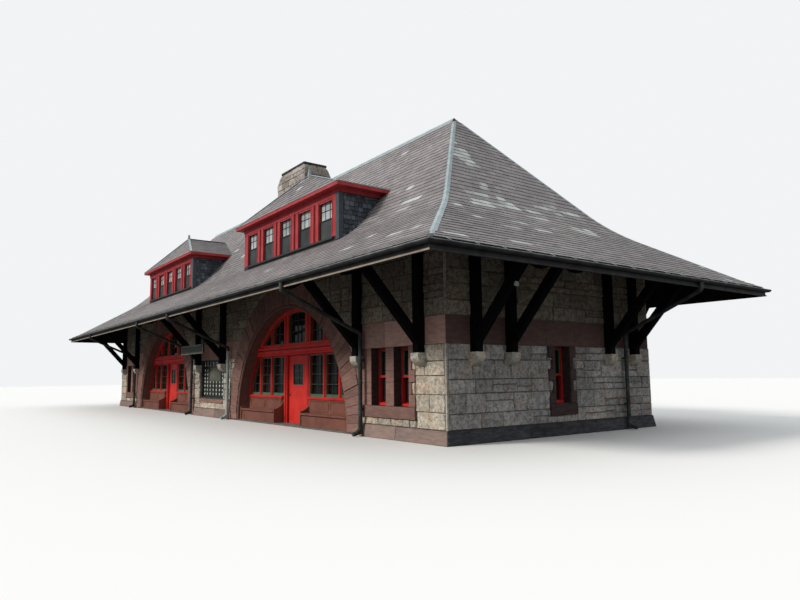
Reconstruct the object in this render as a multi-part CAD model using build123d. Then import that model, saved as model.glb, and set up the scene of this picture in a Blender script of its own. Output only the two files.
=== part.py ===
"""Stone railway station with twin arched recesses and a flared hipped roof on timber brackets."""
import math
import os

from build123d import *

# The stone box, outside face to outside face
LENGTH = 29700
WIDTH = 8100
WALL = 650
HALF_LENGTH = LENGTH / 2
HALF_WIDTH = WIDTH / 2

# Heights above the platform
PLINTH_TOP = 336
PLINTH_FOOT = 92
PLINTH_LIP = 40
BAND_BOTTOM = 2334
BAND_TOP = 3000
BAND_BED = 105
FLOOR_TOP = 50
ATTIC_FLOOR_TOP = 4850
ATTIC_FLOOR_DEPTH = 200

# Main roof: run is counted inwards from the eave edge
EAVE_OVERHANG = 2420
EAVE_Z = 4060
ROOF_DEPTH = 216
LOWER_SLOPE = 0.63
UPPER_SLOPE = 1.20
KNEE_RUN = 3060
BEND_RADIUS = 4700
EAVE_X = HALF_LENGTH + EAVE_OVERHANG
EAVE_Y = HALF_WIDTH + EAVE_OVERHANG
RIDGE_RUN = EAVE_Y
RIDGE_HALF = EAVE_X - EAVE_Y
KNEE_Z = EAVE_Z + LOWER_SLOPE * KNEE_RUN
RIDGE_Z = KNEE_Z + UPPER_SLOPE * (RIDGE_RUN - KNEE_RUN)
WALL_TOP = EAVE_Z - ROOF_DEPTH + LOWER_SLOPE * EAVE_OVERHANG
FASCIA = 40
GUTTER_RADIUS = 70
GUTTER_SKIN = 12
GUTTER_RIM_DROP = 30
FLASHING = 22
HIP_FLASHING_WIDTH = 150
RIDGE_FLASHING_WIDTH = 320

# Arched recesses, two on each long side
ARCH_CENTRE = 6650
ARCH_SPRING = 50
ARCH_RADIUS = 3850
RING_WIDTH = 850
RING_PROUD = 15
RING_OUTER = ARCH_RADIUS + RING_WIDTH
ROLL_RADIUS = 58
ROLL_QUIRK = 96
PIER_BITE = 300
SCREEN_BACK = 560
HOOP_FRONT = 380
HOOP_WIDTH = 110
POST_FRONT = 430
TRANSOM_BOTTOM = 2330
TRANSOM_TOP = 2730
SILL_BOTTOM = 860
SILL_TOP = 960
DOOR_HALF = 665
DOOR_POST = 265
DOOR_THICK = 50
DOOR_GAP = 5
DOOR_LIGHT_HALF = 350
DOOR_LIGHT_BOTTOM = 1330
DOOR_LIGHT_TOP = 2030
HINGE_RADIUS = 10
HINGE_PLATE = 5
HINGE_WIDTH = 45
HINGE_HEIGHT = 60
HINGE_PLAY = 0.3
HINGE_LEVELS = (300, 1150, 2050)
CENTRE_LIGHT_HALF = 600
LIGHT_EDGES = ((930, 1790), (1960, 2720), (2890, ARCH_RADIUS))
GLASS = 10

# Benches in the front recesses
BENCH_FRONT = 70
BENCH_SEAT_TOP = 450
BENCH_SEAT_THICK = 60
BENCH_LIP = 30
BENCH_INNER = 930
BENCH_CLEAR = 130
BENCH_OUTER = ARCH_RADIUS - BENCH_CLEAR
BENCH_END_THICK = 60
BENCH_ARM_TOP = 850

# Windows, measured from the nearer corner of the building
PAIR_EDGES = ((1380, 2040), (2400, 3060))
WINDOW_SILL = 830
SILL_DEPTH = 300
SILL_PROUD = 55
END_WINDOW_HALF = 300
CENTRE_WINDOW_HALF = 1350
CENTRE_WINDOW_SILL = 730
CENTRE_SILL_DEPTH = 140
CENTRE_SILL_OVER = 20
CENTRE_SILL_NOSE = 50
CENTRE_FRAME_BACK = 130
QUOIN_LONG = 250
QUOIN_SHORT = 120
QUOIN_COURSES = 5
SURROUND_DEPTH = 320
SASH = 60
SASH_DEPTH = 90

# Timber brackets under the eaves
POST_WIDTH = 220
POST_DEPTH = 220
POST_FOOT = 2140
STRUT_WIDTH = 180
STRUT_FOOT = 2350
STRUT_DEPTH = 210
STRUT_SLOPE = 1.1
ARM_DEPTH = 160
ARM_REACH = 2250
CORBEL_HEIGHT = 320
CORBEL_DEPTH = 260
CORBEL_WIDTH = 300
LONG_BRACKETS = (13990, 11260, 1410)
END_BRACKETS = (3190, 2000)

# Dormers
DORMER_CENTRE = 6450
DORMER_WIDTH = 7050
DORMER_SETBACK = 100
DORMER_WALL = 120
DORMER_TOP = 7130
DORMER_EAVE = 7350
DORMER_OVERHANG_SIDE = 300
DORMER_OVERHANG_FRONT = 250
DORMER_FASCIA = 100
DORMER_BED_PROUD = 30
DORMER_PEAK_Z = 8720
DORMER_PEAK_RUN = 1150
DORMER_SHELL = 150
DORMER_WINDOWS = 5
DORMER_WINDOW_WIDTH = 840
DORMER_WINDOW_BOTTOM = 5800
DORMER_WINDOW_TOP = 7020
DORMER_MULLION = 520
DORMER_SILL = 60
DORMER_SILL_PROUD = 60
FINIAL_WIDTH = 180
FINIAL_HEIGHT = 400

# Chimney on the ridge
CHIMNEY_CENTRE = 250
CHIMNEY_NECK_X = 1080
CHIMNEY_NECK_Y = 530
CHIMNEY_SPREAD_X = 270
CHIMNEY_SPREAD_Y = 110
CHIMNEY_RISE = 1000
CHIMNEY_TOP = RIDGE_Z + CHIMNEY_RISE
SHOULDER_HEIGHT = 600
CHIMNEY_CAP = 90
CHIMNEY_CAP_OVER = 45

# Rainwater pipes
PIPE_RADIUS = 55
PIPE_STANDOFF = PLINTH_FOOT + PIPE_RADIUS + 5
PIPE_BEND = 150
PIPE_ELBOW_Z = 2750
PIPE_OUTLET_DROP = 190
PIPE_FOOT = 60
PIPE_STRAP = 50
PIPE_STRAP_HEIGHTS = (700, 2000)
LONG_PIPES = (11470, 2080)
END_PIPE = 2700


def block(x0, x1, y0, y1, z0, z1):
    """A box between two corners."""
    size = (x1 - x0, y1 - y0, z1 - z0)
    middle = ((x0 + x1) / 2, (y0 + y1) / 2, (z0 + z1) / 2)
    return Pos(*middle) * Box(*size)


def along_x(outline, x0, x1):
    """An outline drawn in Y and Z, run from x0 to x1."""
    return Plane.YZ.offset(x0) * extrude(outline, x1 - x0)


def along_y(outline, y0, y1):
    """An outline drawn in X and Z, run from y0 to y1."""
    return Plane.XZ.offset(-y1) * extrude(outline, y1 - y0)


def outline(*points):
    """A straight-sided face through the points."""
    return make_face(Polyline(*points, close=True))


def rect(x0, x1, z0, z1):
    """A rectangle between two corners."""
    return outline((x0, z0), (x1, z0), (x1, z1), (x0, z1))


def disc(centre, radius):
    """A round face about an arch's centre."""
    return Pos(centre, ARCH_SPRING) * Circle(radius)


def flip_x(shape):
    """The same piece on the other end."""
    return mirror(shape, about=Plane.YZ)


def flip_y(shape):
    """The same piece on the other long side."""
    return mirror(shape, about=Plane.XZ)


def both_ends(shapes):
    return shapes + [flip_x(s) for s in shapes]


def both_sides(shapes):
    return shapes + [flip_y(s) for s in shapes]


def solids_of(shape):
    return list(shape.solids())


def save(name, shapes):
    """Write one node, as one solid or as several that don't touch."""
    solids = []
    for shape in shapes:
        solids.extend(solids_of(shape))
    node = solids[0] if len(solids) == 1 else Compound(children=solids)
    export_step(node, f"parts/{name}.step")


def roof_line(drop):
    """The flared roof's profile from the eave edge to the ridge, lowered by drop."""
    eave = (0, EAVE_Z - drop)
    knee = (KNEE_RUN, KNEE_Z - drop)
    ridge = (RIDGE_RUN, RIDGE_Z - drop)
    return FilletPolyline(eave, knee, ridge, radius=BEND_RADIUS)


def under_roof(drop, base):
    """The half section between the roof's profile and a level base."""
    line = roof_line(drop)
    sides = Polyline(line @ 1, (RIDGE_RUN, base), (0, base), line @ 0)
    return make_face([line.edges(), sides.edges()])


def run_at(height):
    """Run on the straight upper slope where its surface reaches a height."""
    return KNEE_RUN + (height - KNEE_Z) / UPPER_SLOPE


def front_profile(face):
    """Turn a half section drawn by run into the front slope's place."""
    return along_x(Pos(-EAVE_Y, 0) * face, -EAVE_X, EAVE_X)


def end_profile(face):
    """Turn a half section drawn by run into the right end slope's place."""
    turned = mirror(Pos(-EAVE_X, 0) * face, about=Plane.YZ)
    return along_y(turned, -EAVE_Y, EAVE_Y)


def front_plan():
    """The front slope's trapezoid seen from above."""
    plan = outline((-EAVE_X, -EAVE_Y), (EAVE_X, -EAVE_Y), (RIDGE_HALF, 0), (-RIDGE_HALF, 0))
    return extrude(plan, RIDGE_Z + BEND_RADIUS)


def end_plan():
    """The right end slope's triangle seen from above."""
    plan = outline((EAVE_X, -EAVE_Y), (EAVE_X, EAVE_Y), (RIDGE_HALF, 0))
    return extrude(plan, RIDGE_Z + BEND_RADIUS)


def band_tube():
    """The level band let into the walls round the whole building."""
    outer = block(-HALF_LENGTH, HALF_LENGTH, -HALF_WIDTH, HALF_WIDTH, BAND_BOTTOM, BAND_TOP)
    inner_x = HALF_LENGTH - BAND_BED
    inner_y = HALF_WIDTH - BAND_BED
    return outer - block(-inner_x, inner_x, -inner_y, inner_y, BAND_BOTTOM, BAND_TOP)


def arch_hole(radius):
    """The space of one front arch, jambs and all, through the wall."""
    round_part = disc(ARCH_CENTRE, radius)
    legs = rect(ARCH_CENTRE - radius, ARCH_CENTRE + radius, -radius, ARCH_SPRING)
    above_ground = rect(ARCH_CENTRE - 2 * radius, ARCH_CENTRE + 2 * radius, 0, 2 * radius)
    shape = (round_part + legs) & above_ground
    return along_y(shape, -HALF_WIDTH - WALL, -HALF_WIDTH + 2 * WALL)


def pair_openings():
    """The two window openings near the right corner, as X and Z ranges."""
    spans = []
    for near, far in PAIR_EDGES:
        spans.append((HALF_LENGTH - far, HALF_LENGTH - near, WINDOW_SILL, BAND_BOTTOM))
    return spans


def centre_opening():
    return [(-CENTRE_WINDOW_HALF, CENTRE_WINDOW_HALF, CENTRE_WINDOW_SILL, BAND_BOTTOM)]


def end_opening():
    return [(-END_WINDOW_HALF, END_WINDOW_HALF, WINDOW_SILL, BAND_BOTTOM)]


def quoin_face(x0, x1, sill, teeth_left, teeth_right):
    """The outline of a window's dressed stones, with long and short courses in turn."""
    bottom = sill - SILL_DEPTH
    course = (BAND_BOTTOM - sill) / QUOIN_COURSES
    shape = rect(x0 - QUOIN_SHORT * teeth_left, x1 + QUOIN_SHORT * teeth_right, bottom, BAND_BOTTOM)
    for i in range(0, QUOIN_COURSES, 2):
        low = sill + i * course
        left = x0 - QUOIN_LONG * teeth_left
        right = x1 + QUOIN_LONG * teeth_right
        shape += rect(left, right, low, low + course)
    shape += rect(x0 - QUOIN_LONG * teeth_left, x1 + QUOIN_LONG * teeth_right, bottom, sill)
    return shape


def pair_surround_face():
    """Dressed stones of the paired windows, run in to the arch ring."""
    spans = pair_openings()
    left = ARCH_CENTRE + RING_OUTER - RING_WIDTH / 2
    face = quoin_face(left, spans[0][1], WINDOW_SILL, 0, 1)
    return face - disc(ARCH_CENTRE, RING_OUTER)


def centre_sill_face():
    """The centre window's sill slab, thinned towards its ends."""
    top = CENTRE_WINDOW_SILL
    bottom = top - CENTRE_SILL_DEPTH
    end = CENTRE_WINDOW_HALF + CENTRE_SILL_OVER
    thin = end - CENTRE_SILL_DEPTH
    nose = top - CENTRE_SILL_NOSE
    return outline((-end, top), (end, top), (end, nose), (thin, bottom), (-thin, bottom), (-end, nose))


def end_surround_face():
    x0, x1, sill, top = end_opening()[0]
    return quoin_face(x0, x1, sill, 1, 1)


def front_depth(face, start, end):
    """Run a face in X and Z from one depth behind the front wall's face to another."""
    return along_y(face, -HALF_WIDTH + start, -HALF_WIDTH + end)


def end_depth(face, start, end):
    """The same behind the right end wall's face, with the outline drawn in Y and Z."""
    return along_x(face, HALF_LENGTH - end, HALF_LENGTH - start)


def cut_windows(wall, surround, openings, place):
    """Cut a wall for its dressed stones and its window openings."""
    wall -= place(surround, -SILL_PROUD, SURROUND_DEPTH)
    for x0, x1, z0, z1 in openings:
        wall -= place(rect(x0, x1, z0, z1), 0, WALL)
    return wall


def front_wall_piers():
    """The right, middle and left piers of the front wall."""
    groove = band_tube()
    ring_space = arch_hole(RING_OUTER)
    pier_edge = ARCH_CENTRE + RING_OUTER - PIER_BITE
    right = block(pier_edge, HALF_LENGTH, -HALF_WIDTH, -HALF_WIDTH + WALL, PLINTH_TOP, WALL_TOP)
    right = right - ring_space - groove
    right = cut_windows(right, pair_surround_face(), pair_openings(), front_depth)
    middle_edge = ARCH_CENTRE - RING_OUTER + PIER_BITE
    middle = block(-middle_edge, middle_edge, -HALF_WIDTH, -HALF_WIDTH + WALL, PLINTH_TOP, WALL_TOP)
    middle = middle - ring_space - flip_x(ring_space) - groove
    middle = cut_windows(middle, centre_sill_face(), centre_opening(), front_depth)
    return [right, middle, flip_x(right)]


def front_arch_walls():
    """The granite over each front arch."""
    reach = RING_OUTER - PIER_BITE
    wall = block(ARCH_CENTRE - reach, ARCH_CENTRE + reach, -HALF_WIDTH, -HALF_WIDTH + WALL,
                 ARCH_SPRING, WALL_TOP)
    wall = wall - arch_hole(RING_OUTER) - band_tube()
    wall -= front_depth(pair_surround_face(), -SILL_PROUD, SURROUND_DEPTH)
    return both_ends([wall])


def right_end_wall():
    wall = block(HALF_LENGTH - WALL, HALF_LENGTH, -HALF_WIDTH + WALL, HALF_WIDTH - WALL, PLINTH_TOP, WALL_TOP)
    wall -= band_tube()
    return cut_windows(wall, end_surround_face(), end_opening(), end_depth)


def plinth_section(inner):
    """Battered base course, drawn outwards from a wall's face."""
    return outline((-inner, 0), (PLINTH_FOOT, 0), (PLINTH_LIP, PLINTH_TOP), (-inner, PLINTH_TOP))


def front_plinths():
    """Base course under the front piers, its right run mitred at the corner."""
    section = mirror(plinth_section(WALL), about=Plane.YZ)
    strip = along_x(Pos(-HALF_WIDTH, 0) * section, -HALF_LENGTH - PLINTH_FOOT, HALF_LENGTH + PLINTH_FOOT)
    reach = HALF_LENGTH + PLINTH_FOOT
    side = HALF_WIDTH + PLINTH_FOOT
    inner = HALF_WIDTH - WALL
    corner = HALF_LENGTH - WALL
    plan = outline((-reach, -side), (reach, -side), (corner, -inner), (-corner, -inner))
    strip &= extrude(plan, PLINTH_TOP)
    ring_space = arch_hole(RING_OUTER)
    strip = strip - ring_space - flip_x(ring_space)
    return solids_of(strip)


def right_end_plinth():
    section = plinth_section(WALL)
    strip = along_y(Pos(HALF_LENGTH, 0) * section, -HALF_WIDTH - PLINTH_FOOT, HALF_WIDTH + PLINTH_FOOT)
    reach = HALF_LENGTH + PLINTH_FOOT
    side = HALF_WIDTH + PLINTH_FOOT
    inner = HALF_WIDTH - WALL
    corner = HALF_LENGTH - WALL
    plan = outline((reach, -side), (reach, side), (corner, inner), (corner, -inner))
    return strip & extrude(plan, PLINTH_TOP)


def front_bands():
    """Smooth band between the granite courses, stopped by the arch rings."""
    tube = band_tube()
    front_half = block(-EAVE_X, EAVE_X, -EAVE_Y, -HALF_WIDTH + BAND_BED, BAND_BOTTOM, BAND_TOP)
    ring_space = arch_hole(RING_OUTER)
    return solids_of((tube & front_half) - ring_space - flip_x(ring_space))


def right_end_band():
    tube = band_tube()
    inner = HALF_WIDTH - BAND_BED
    return tube & block(HALF_LENGTH - BAND_BED, EAVE_X, -inner, inner, BAND_BOTTOM, BAND_TOP)


def ring_section():
    """A ring's section in radius and Y, with a roll on its inner front arris."""
    front = -HALF_WIDTH - RING_PROUD
    face = rect(ARCH_RADIUS, RING_OUTER, front, -HALF_WIDTH + WALL)
    face -= rect(ARCH_RADIUS, ARCH_RADIUS + ROLL_QUIRK, front, front + ROLL_QUIRK)
    return face + Pos(ARCH_RADIUS + ROLL_RADIUS, front + ROLL_RADIUS) * Circle(ROLL_RADIUS)


def front_rings():
    """The round arch rings, standing on the ground on short upright feet."""
    section = ring_section()
    half_round = revolve(section, axis=Axis((0, 0, 0), (0, -1, 0)), revolution_arc=180)
    foot = extrude(section, -ARCH_SPRING)
    ring = Pos(ARCH_CENTRE, 0, ARCH_SPRING) * (half_round + foot + flip_x(foot))
    return both_ends([ring])


def front_surrounds():
    """Dressed stones of the paired windows and the centre window's sill."""
    pair = front_depth(pair_surround_face(), 0, SURROUND_DEPTH)
    for x0, x1, z0, z1 in pair_openings():
        pair += front_depth(rect(x0 - QUOIN_SHORT, x1 + QUOIN_SHORT, z0 - SILL_DEPTH, z0), -SILL_PROUD, 0)
        pair -= front_depth(rect(x0, x1, z0, z1), 0, SURROUND_DEPTH)
    return both_ends([pair]) + [front_depth(centre_sill_face(), -SILL_PROUD, SURROUND_DEPTH)]


def right_end_surround():
    piece = end_depth(end_surround_face(), 0, SURROUND_DEPTH)
    for x0, x1, z0, z1 in end_opening():
        piece += end_depth(rect(x0 - QUOIN_SHORT, x1 + QUOIN_SHORT, z0 - SILL_DEPTH, z0), -SILL_PROUD, 0)
        piece -= end_depth(rect(x0, x1, z0, z1), 0, SURROUND_DEPTH)
    return piece


def sash_face(x0, x1, z0, z1):
    """A double-hung window's frame with its meeting rail."""
    middle = (z0 + z1) / 2
    face = rect(x0, x1, z0, z1)
    face -= rect(x0 + SASH, x1 - SASH, z0 + SASH, middle - SASH / 2)
    face -= rect(x0 + SASH, x1 - SASH, middle + SASH / 2, z1 - SASH)
    return face


def front_frames():
    frames = []
    for x0, x1, z0, z1 in pair_openings():
        frames.append(front_depth(sash_face(x0, x1, z0, z1), SURROUND_DEPTH - SASH_DEPTH, SURROUND_DEPTH))
    frames = both_ends(frames)
    x0, x1, z0, z1 = centre_opening()[0]
    centre = rect(x0, x1, z0, z1) - rect(x0 + SASH, x1 - SASH, z0 + SASH, z1 - SASH)
    frames.append(front_depth(centre, CENTRE_FRAME_BACK - SASH_DEPTH, CENTRE_FRAME_BACK))
    return frames


def right_end_frames():
    frames = []
    for x0, x1, z0, z1 in end_opening():
        frames.append(end_depth(sash_face(x0, x1, z0, z1), SURROUND_DEPTH - SASH_DEPTH, SURROUND_DEPTH))
    return frames


def front_panes():
    """Glass just behind the window frames."""
    panes = []
    for x0, x1, z0, z1 in pair_openings():
        panes.append(front_depth(rect(x0, x1, z0, z1), SURROUND_DEPTH, SURROUND_DEPTH + GLASS))
    panes = both_ends(panes)
    x0, x1, z0, z1 = centre_opening()[0]
    panes.append(front_depth(rect(x0, x1, z0, z1), CENTRE_FRAME_BACK, CENTRE_FRAME_BACK + GLASS))
    return panes


def right_end_panes():
    panes = []
    for x0, x1, z0, z1 in end_opening():
        panes.append(end_depth(rect(x0, x1, z0, z1), SURROUND_DEPTH, SURROUND_DEPTH + GLASS))
    return panes


def arch_part(face, radius):
    """The part of a face, drawn about the arch's centre line, that lies inside the arch."""
    return (Pos(ARCH_CENTRE, 0) * face) & disc(ARCH_CENTRE, radius)


def upper_screen():
    """Transom, hoop and posts over the door, with the arched lights cut through."""
    face = arch_part(rect(-ARCH_RADIUS, ARCH_RADIUS, TRANSOM_BOTTOM, 2 * ARCH_RADIUS), ARCH_RADIUS)
    inner = ARCH_RADIUS - HOOP_WIDTH
    lights = arch_part(rect(-CENTRE_LIGHT_HALF, CENTRE_LIGHT_HALF, TRANSOM_TOP, 2 * ARCH_RADIUS), inner)
    for near, far in LIGHT_EDGES[:2]:
        lights += arch_part(rect(near, far, TRANSOM_TOP, 2 * ARCH_RADIUS), inner)
        lights += arch_part(rect(-far, -near, TRANSOM_TOP, 2 * ARCH_RADIUS), inner)
    frame = front_depth(face - lights, POST_FRONT, SCREEN_BACK)
    hoop = face - disc(ARCH_CENTRE, inner)
    frame += front_depth(hoop, HOOP_FRONT, POST_FRONT)
    beam = arch_part(rect(-ARCH_RADIUS, ARCH_RADIUS, TRANSOM_BOTTOM, TRANSOM_TOP - HOOP_WIDTH), ARCH_RADIUS)
    frame += front_depth(beam, HOOP_FRONT, POST_FRONT)
    return frame


def lower_screen(side):
    """Windows, sill and panelling between the door and the jamb, on one side of the door."""
    spans = [sorted((side * DOOR_HALF, side * ARCH_RADIUS))]
    face = arch_part(rect(spans[0][0], spans[0][1], FLOOR_TOP, TRANSOM_BOTTOM), ARCH_RADIUS)
    inner = ARCH_RADIUS - HOOP_WIDTH
    lights = None
    for near, far in LIGHT_EDGES:
        low, high = sorted((side * near, side * far))
        light = arch_part(rect(low, high, SILL_TOP, TRANSOM_BOTTOM - SASH / 2), inner)
        lights = light if lights is None else lights + light
    frame = front_depth(face - lights, POST_FRONT, SCREEN_BACK)
    hoop = face - disc(ARCH_CENTRE, inner)
    low, high = sorted((side * (DOOR_HALF + DOOR_POST), side * ARCH_RADIUS))
    sill = arch_part(rect(low, high, SILL_BOTTOM, SILL_TOP), ARCH_RADIUS)
    frame += front_depth(hoop + sill, HOOP_FRONT, POST_FRONT)
    return frame


def hinge_half(side, bottom):
    """Plate and knuckle of a lift-off hinge, on the jamb for side 1 and on the leaf for side -1."""
    pin = ARCH_CENTRE + DOOR_HALF - DOOR_GAP / 2
    knuckle = Cylinder(HINGE_RADIUS, HINGE_HEIGHT, align=(Align.CENTER, Align.CENTER, Align.MIN))
    half = Pos(pin, -HALF_WIDTH + SCREEN_BACK + HINGE_RADIUS, bottom) * knuckle
    low, high = sorted((pin, pin + side * HINGE_WIDTH))
    plate = rect(low, high, bottom, bottom + HINGE_HEIGHT)
    return half + front_depth(plate, SCREEN_BACK, SCREEN_BACK + HINGE_PLATE)


def front_right_screens():
    """The two lower screens of the right front arch, with the door's hinges on the outer one."""
    outer = lower_screen(1)
    for level in HINGE_LEVELS:
        outer += hinge_half(1, level)
    return [lower_screen(-1), outer]


def screen_panes():
    """Glass just behind one arch's screen, clear of the door."""
    panes = []
    radius = ARCH_RADIUS - HOOP_WIDTH / 2
    edge = DOOR_HALF + DOOR_POST / 2
    for side in (-1, 1):
        low, high = sorted((side * edge, side * ARCH_RADIUS))
        lower = arch_part(rect(low, high, SILL_BOTTOM, TRANSOM_BOTTOM), radius)
        panes.append(front_depth(lower, SCREEN_BACK, SCREEN_BACK + GLASS))
    upper = arch_part(rect(-ARCH_RADIUS, ARCH_RADIUS, TRANSOM_TOP - SASH, 2 * ARCH_RADIUS), radius)
    panes.append(front_depth(upper, SCREEN_BACK, SCREEN_BACK + GLASS))
    return panes


def door_leaf(gap):
    """The wide plank door with its high six-pane light cut through, and the gap left round it."""
    half = DOOR_HALF - gap
    face = rect(-half, half, FLOOR_TOP + gap, TRANSOM_BOTTOM - gap)
    face -= rect(-DOOR_LIGHT_HALF, DOOR_LIGHT_HALF, DOOR_LIGHT_BOTTOM, DOOR_LIGHT_TOP)
    return front_depth(Pos(ARCH_CENTRE, 0) * face, SCREEN_BACK - DOOR_THICK, SCREEN_BACK)


def hinged_door():
    """The right front door with the upper halves of its hinges."""
    leaf = door_leaf(DOOR_GAP)
    for level in HINGE_LEVELS:
        leaf += hinge_half(-1, level + HINGE_HEIGHT + HINGE_PLAY)
    return leaf


def door_pane():
    """The door's glass, set in the thickness of the leaf."""
    face = rect(-DOOR_LIGHT_HALF, DOOR_LIGHT_HALF, DOOR_LIGHT_BOTTOM, DOOR_LIGHT_TOP)
    middle = SCREEN_BACK - DOOR_THICK / 2
    return front_depth(Pos(ARCH_CENTRE, 0) * face, middle - GLASS / 2, middle + GLASS / 2)


def ground_floor():
    """Floor slab inside the walls, carried out through the four arches as thresholds."""
    inner_x = HALF_LENGTH - WALL
    inner_y = HALF_WIDTH - WALL
    slab = block(-inner_x, inner_x, -inner_y, inner_y, 0, FLOOR_TOP)
    for side in (-1, 1):
        middle = side * ARCH_CENTRE
        slab += block(middle - ARCH_RADIUS, middle + ARCH_RADIUS, -HALF_WIDTH, HALF_WIDTH, 0, FLOOR_TOP)
    return slab


def attic_floor():
    inner_x = HALF_LENGTH - WALL
    inner_y = HALF_WIDTH - WALL
    return block(-inner_x, inner_x, -inner_y, inner_y, ATTIC_FLOOR_TOP - ATTIC_FLOOR_DEPTH, ATTIC_FLOOR_TOP)


def bench_seats():
    """Seat and boxed base of the benches in the right front arch."""
    seats = []
    seat_bottom = BENCH_SEAT_TOP - BENCH_SEAT_THICK
    for side in (-1, 1):
        low, high = sorted((side * (BENCH_INNER + BENCH_END_THICK), side * BENCH_OUTER))
        base = rect(low, high, FLOOR_TOP, seat_bottom)
        seat = rect(low, high, seat_bottom, BENCH_SEAT_TOP)
        piece = front_depth(Pos(ARCH_CENTRE, 0) * base, BENCH_FRONT + BENCH_LIP, HOOP_FRONT)
        piece += front_depth(Pos(ARCH_CENTRE, 0) * seat, BENCH_FRONT, HOOP_FRONT)
        seats.append(piece)
    return seats


def bench_backs():
    """Panelled backs behind the seats, up to the window sills."""
    backs = []
    for side in (-1, 1):
        low, high = sorted((side * (BENCH_INNER + BENCH_END_THICK), side * ARCH_RADIUS))
        face = arch_part(rect(low, high, FLOOR_TOP, SILL_BOTTOM), ARCH_RADIUS - HOOP_WIDTH)
        backs.append(front_depth(face, HOOP_FRONT, POST_FRONT))
    return backs


def bench_end_face(back):
    """An end panel's side view, swept down from the sill to the seat's front edge."""
    front = -HALF_WIDTH + BENCH_FRONT
    knuckle = BENCH_SEAT_TOP + BENCH_SEAT_THICK
    sweep_line = Spline((front, knuckle), (front + (back - front) / 2, knuckle + BENCH_SEAT_THICK),
                        (back, BENCH_ARM_TOP), tangents=((1, 0), (0, 1)))
    sides = Polyline((back, BENCH_ARM_TOP), (back, FLOOR_TOP), (front, FLOOR_TOP), (front, knuckle))
    return make_face([sweep_line.edges(), sides.edges()])


def bench_ends():
    """Scrolled end panels of the benches, beside the door and against the arch."""
    door_face = bench_end_face(-HALF_WIDTH + POST_FRONT)
    arch_face = bench_end_face(-HALF_WIDTH + HOOP_FRONT)
    inside = arch_hole(ARCH_RADIUS)
    ends = []
    for side in (-1, 1):
        low, high = sorted((side * BENCH_INNER, side * (BENCH_INNER + BENCH_END_THICK)))
        ends.append(along_x(door_face, ARCH_CENTRE + low, ARCH_CENTRE + high))
        low, high = sorted((side * BENCH_OUTER, side * ARCH_RADIUS))
        ends.append(along_x(arch_face, ARCH_CENTRE + low, ARCH_CENTRE + high) & inside)
    return ends


def soffit(out):
    """Height of the roof's underside at a distance out from the wall's face."""
    return WALL_TOP - LOWER_SLOPE * out


def arm_underside(out):
    return soffit(out) - ARM_DEPTH * math.hypot(1, LOWER_SLOPE)


def bracket_post(wall_face):
    """Upright against the wall, as its section in depth and height, cut to the roof's underside."""
    return outline((wall_face, POST_FOOT), (wall_face + POST_DEPTH, POST_FOOT),
                   (wall_face + POST_DEPTH, soffit(POST_DEPTH)), (wall_face, soffit(0)))


def bracket_strut(wall_face):
    """Raking strut from the post's foot up to the underside of the arm."""
    thick = STRUT_DEPTH * math.hypot(1, STRUT_SLOPE)
    corners = [(wall_face + POST_DEPTH, STRUT_FOOT + thick), (wall_face + POST_DEPTH, STRUT_FOOT)]
    for foot in (STRUT_FOOT, STRUT_FOOT + thick):
        start = foot - STRUT_SLOPE * POST_DEPTH
        out = (arm_underside(0) - start) / (STRUT_SLOPE + LOWER_SLOPE)
        corners.append((wall_face + out, arm_underside(out)))
    return outline(*corners)


def bracket_arm(wall_face):
    """Raking outrigger against the roof's underside, its nose cut back below."""
    start = wall_face + POST_DEPTH
    end = wall_face + ARM_REACH
    cut = ARM_REACH - ARM_DEPTH
    nose = (soffit(ARM_REACH) + arm_underside(ARM_REACH)) / 2
    return outline((start, soffit(POST_DEPTH)), (end, soffit(ARM_REACH)), (end, nose),
                   (wall_face + cut, arm_underside(cut)), (start, arm_underside(POST_DEPTH)))


def corbel_section(wall_face):
    """Stone corbel under a post, rounded back to the wall."""
    bottom = POST_FOOT - CORBEL_HEIGHT
    shelf = CORBEL_HEIGHT * 0.4
    arc = RadiusArc((wall_face + CORBEL_DEPTH, POST_FOOT - shelf), (wall_face, bottom), CORBEL_DEPTH * 1.2)
    sides = Polyline((wall_face, bottom), (wall_face, POST_FOOT), (wall_face + CORBEL_DEPTH, POST_FOOT),
                     (wall_face + CORBEL_DEPTH, POST_FOOT - shelf))
    return make_face([arc.edges(), sides.edges()])


def brackets(section, width):
    """One bracket member at every bracket of the building."""
    face = section(HALF_WIDTH)
    long_side = []
    for x in LONG_BRACKETS:
        long_side.append(along_x(face, x - width / 2, x + width / 2))
    long_side = both_sides(both_ends(long_side))
    end_face = section(HALF_LENGTH)
    end_side = []
    for y in END_BRACKETS:
        end_side.append(along_y(end_face, y - width / 2, y + width / 2))
    return long_side + both_ends(both_sides(end_side))


def shoulder_face(neck, spread):
    """One view of the stack: plain below, drawn in over round shoulders to its neck."""
    foot = ATTIC_FLOOR_TOP
    shoulder = CHIMNEY_TOP - SHOULDER_HEIGHT
    wide = neck + spread
    right = TangentArc((wide, shoulder), (neck, CHIMNEY_TOP), tangent=(0, 1))
    left = TangentArc((-wide, shoulder), (-neck, CHIMNEY_TOP), tangent=(0, 1))
    top = Line((neck, CHIMNEY_TOP), (-neck, CHIMNEY_TOP))
    sides = Polyline((-wide, shoulder), (-wide, foot), (wide, foot), (wide, shoulder))
    return make_face([right.edges(), top.edges(), left.edges(), sides.edges()])


def chimney_shaft():
    """Stone stack with round shoulders, standing on the attic floor."""
    reach = CHIMNEY_NECK_X + CHIMNEY_SPREAD_X
    long_view = along_y(shoulder_face(CHIMNEY_NECK_X, CHIMNEY_SPREAD_X), -reach, reach)
    short_view = along_x(shoulder_face(CHIMNEY_NECK_Y, CHIMNEY_SPREAD_Y), -reach, reach)
    return Pos(CHIMNEY_CENTRE, 0, 0) * (long_view & short_view)


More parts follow.
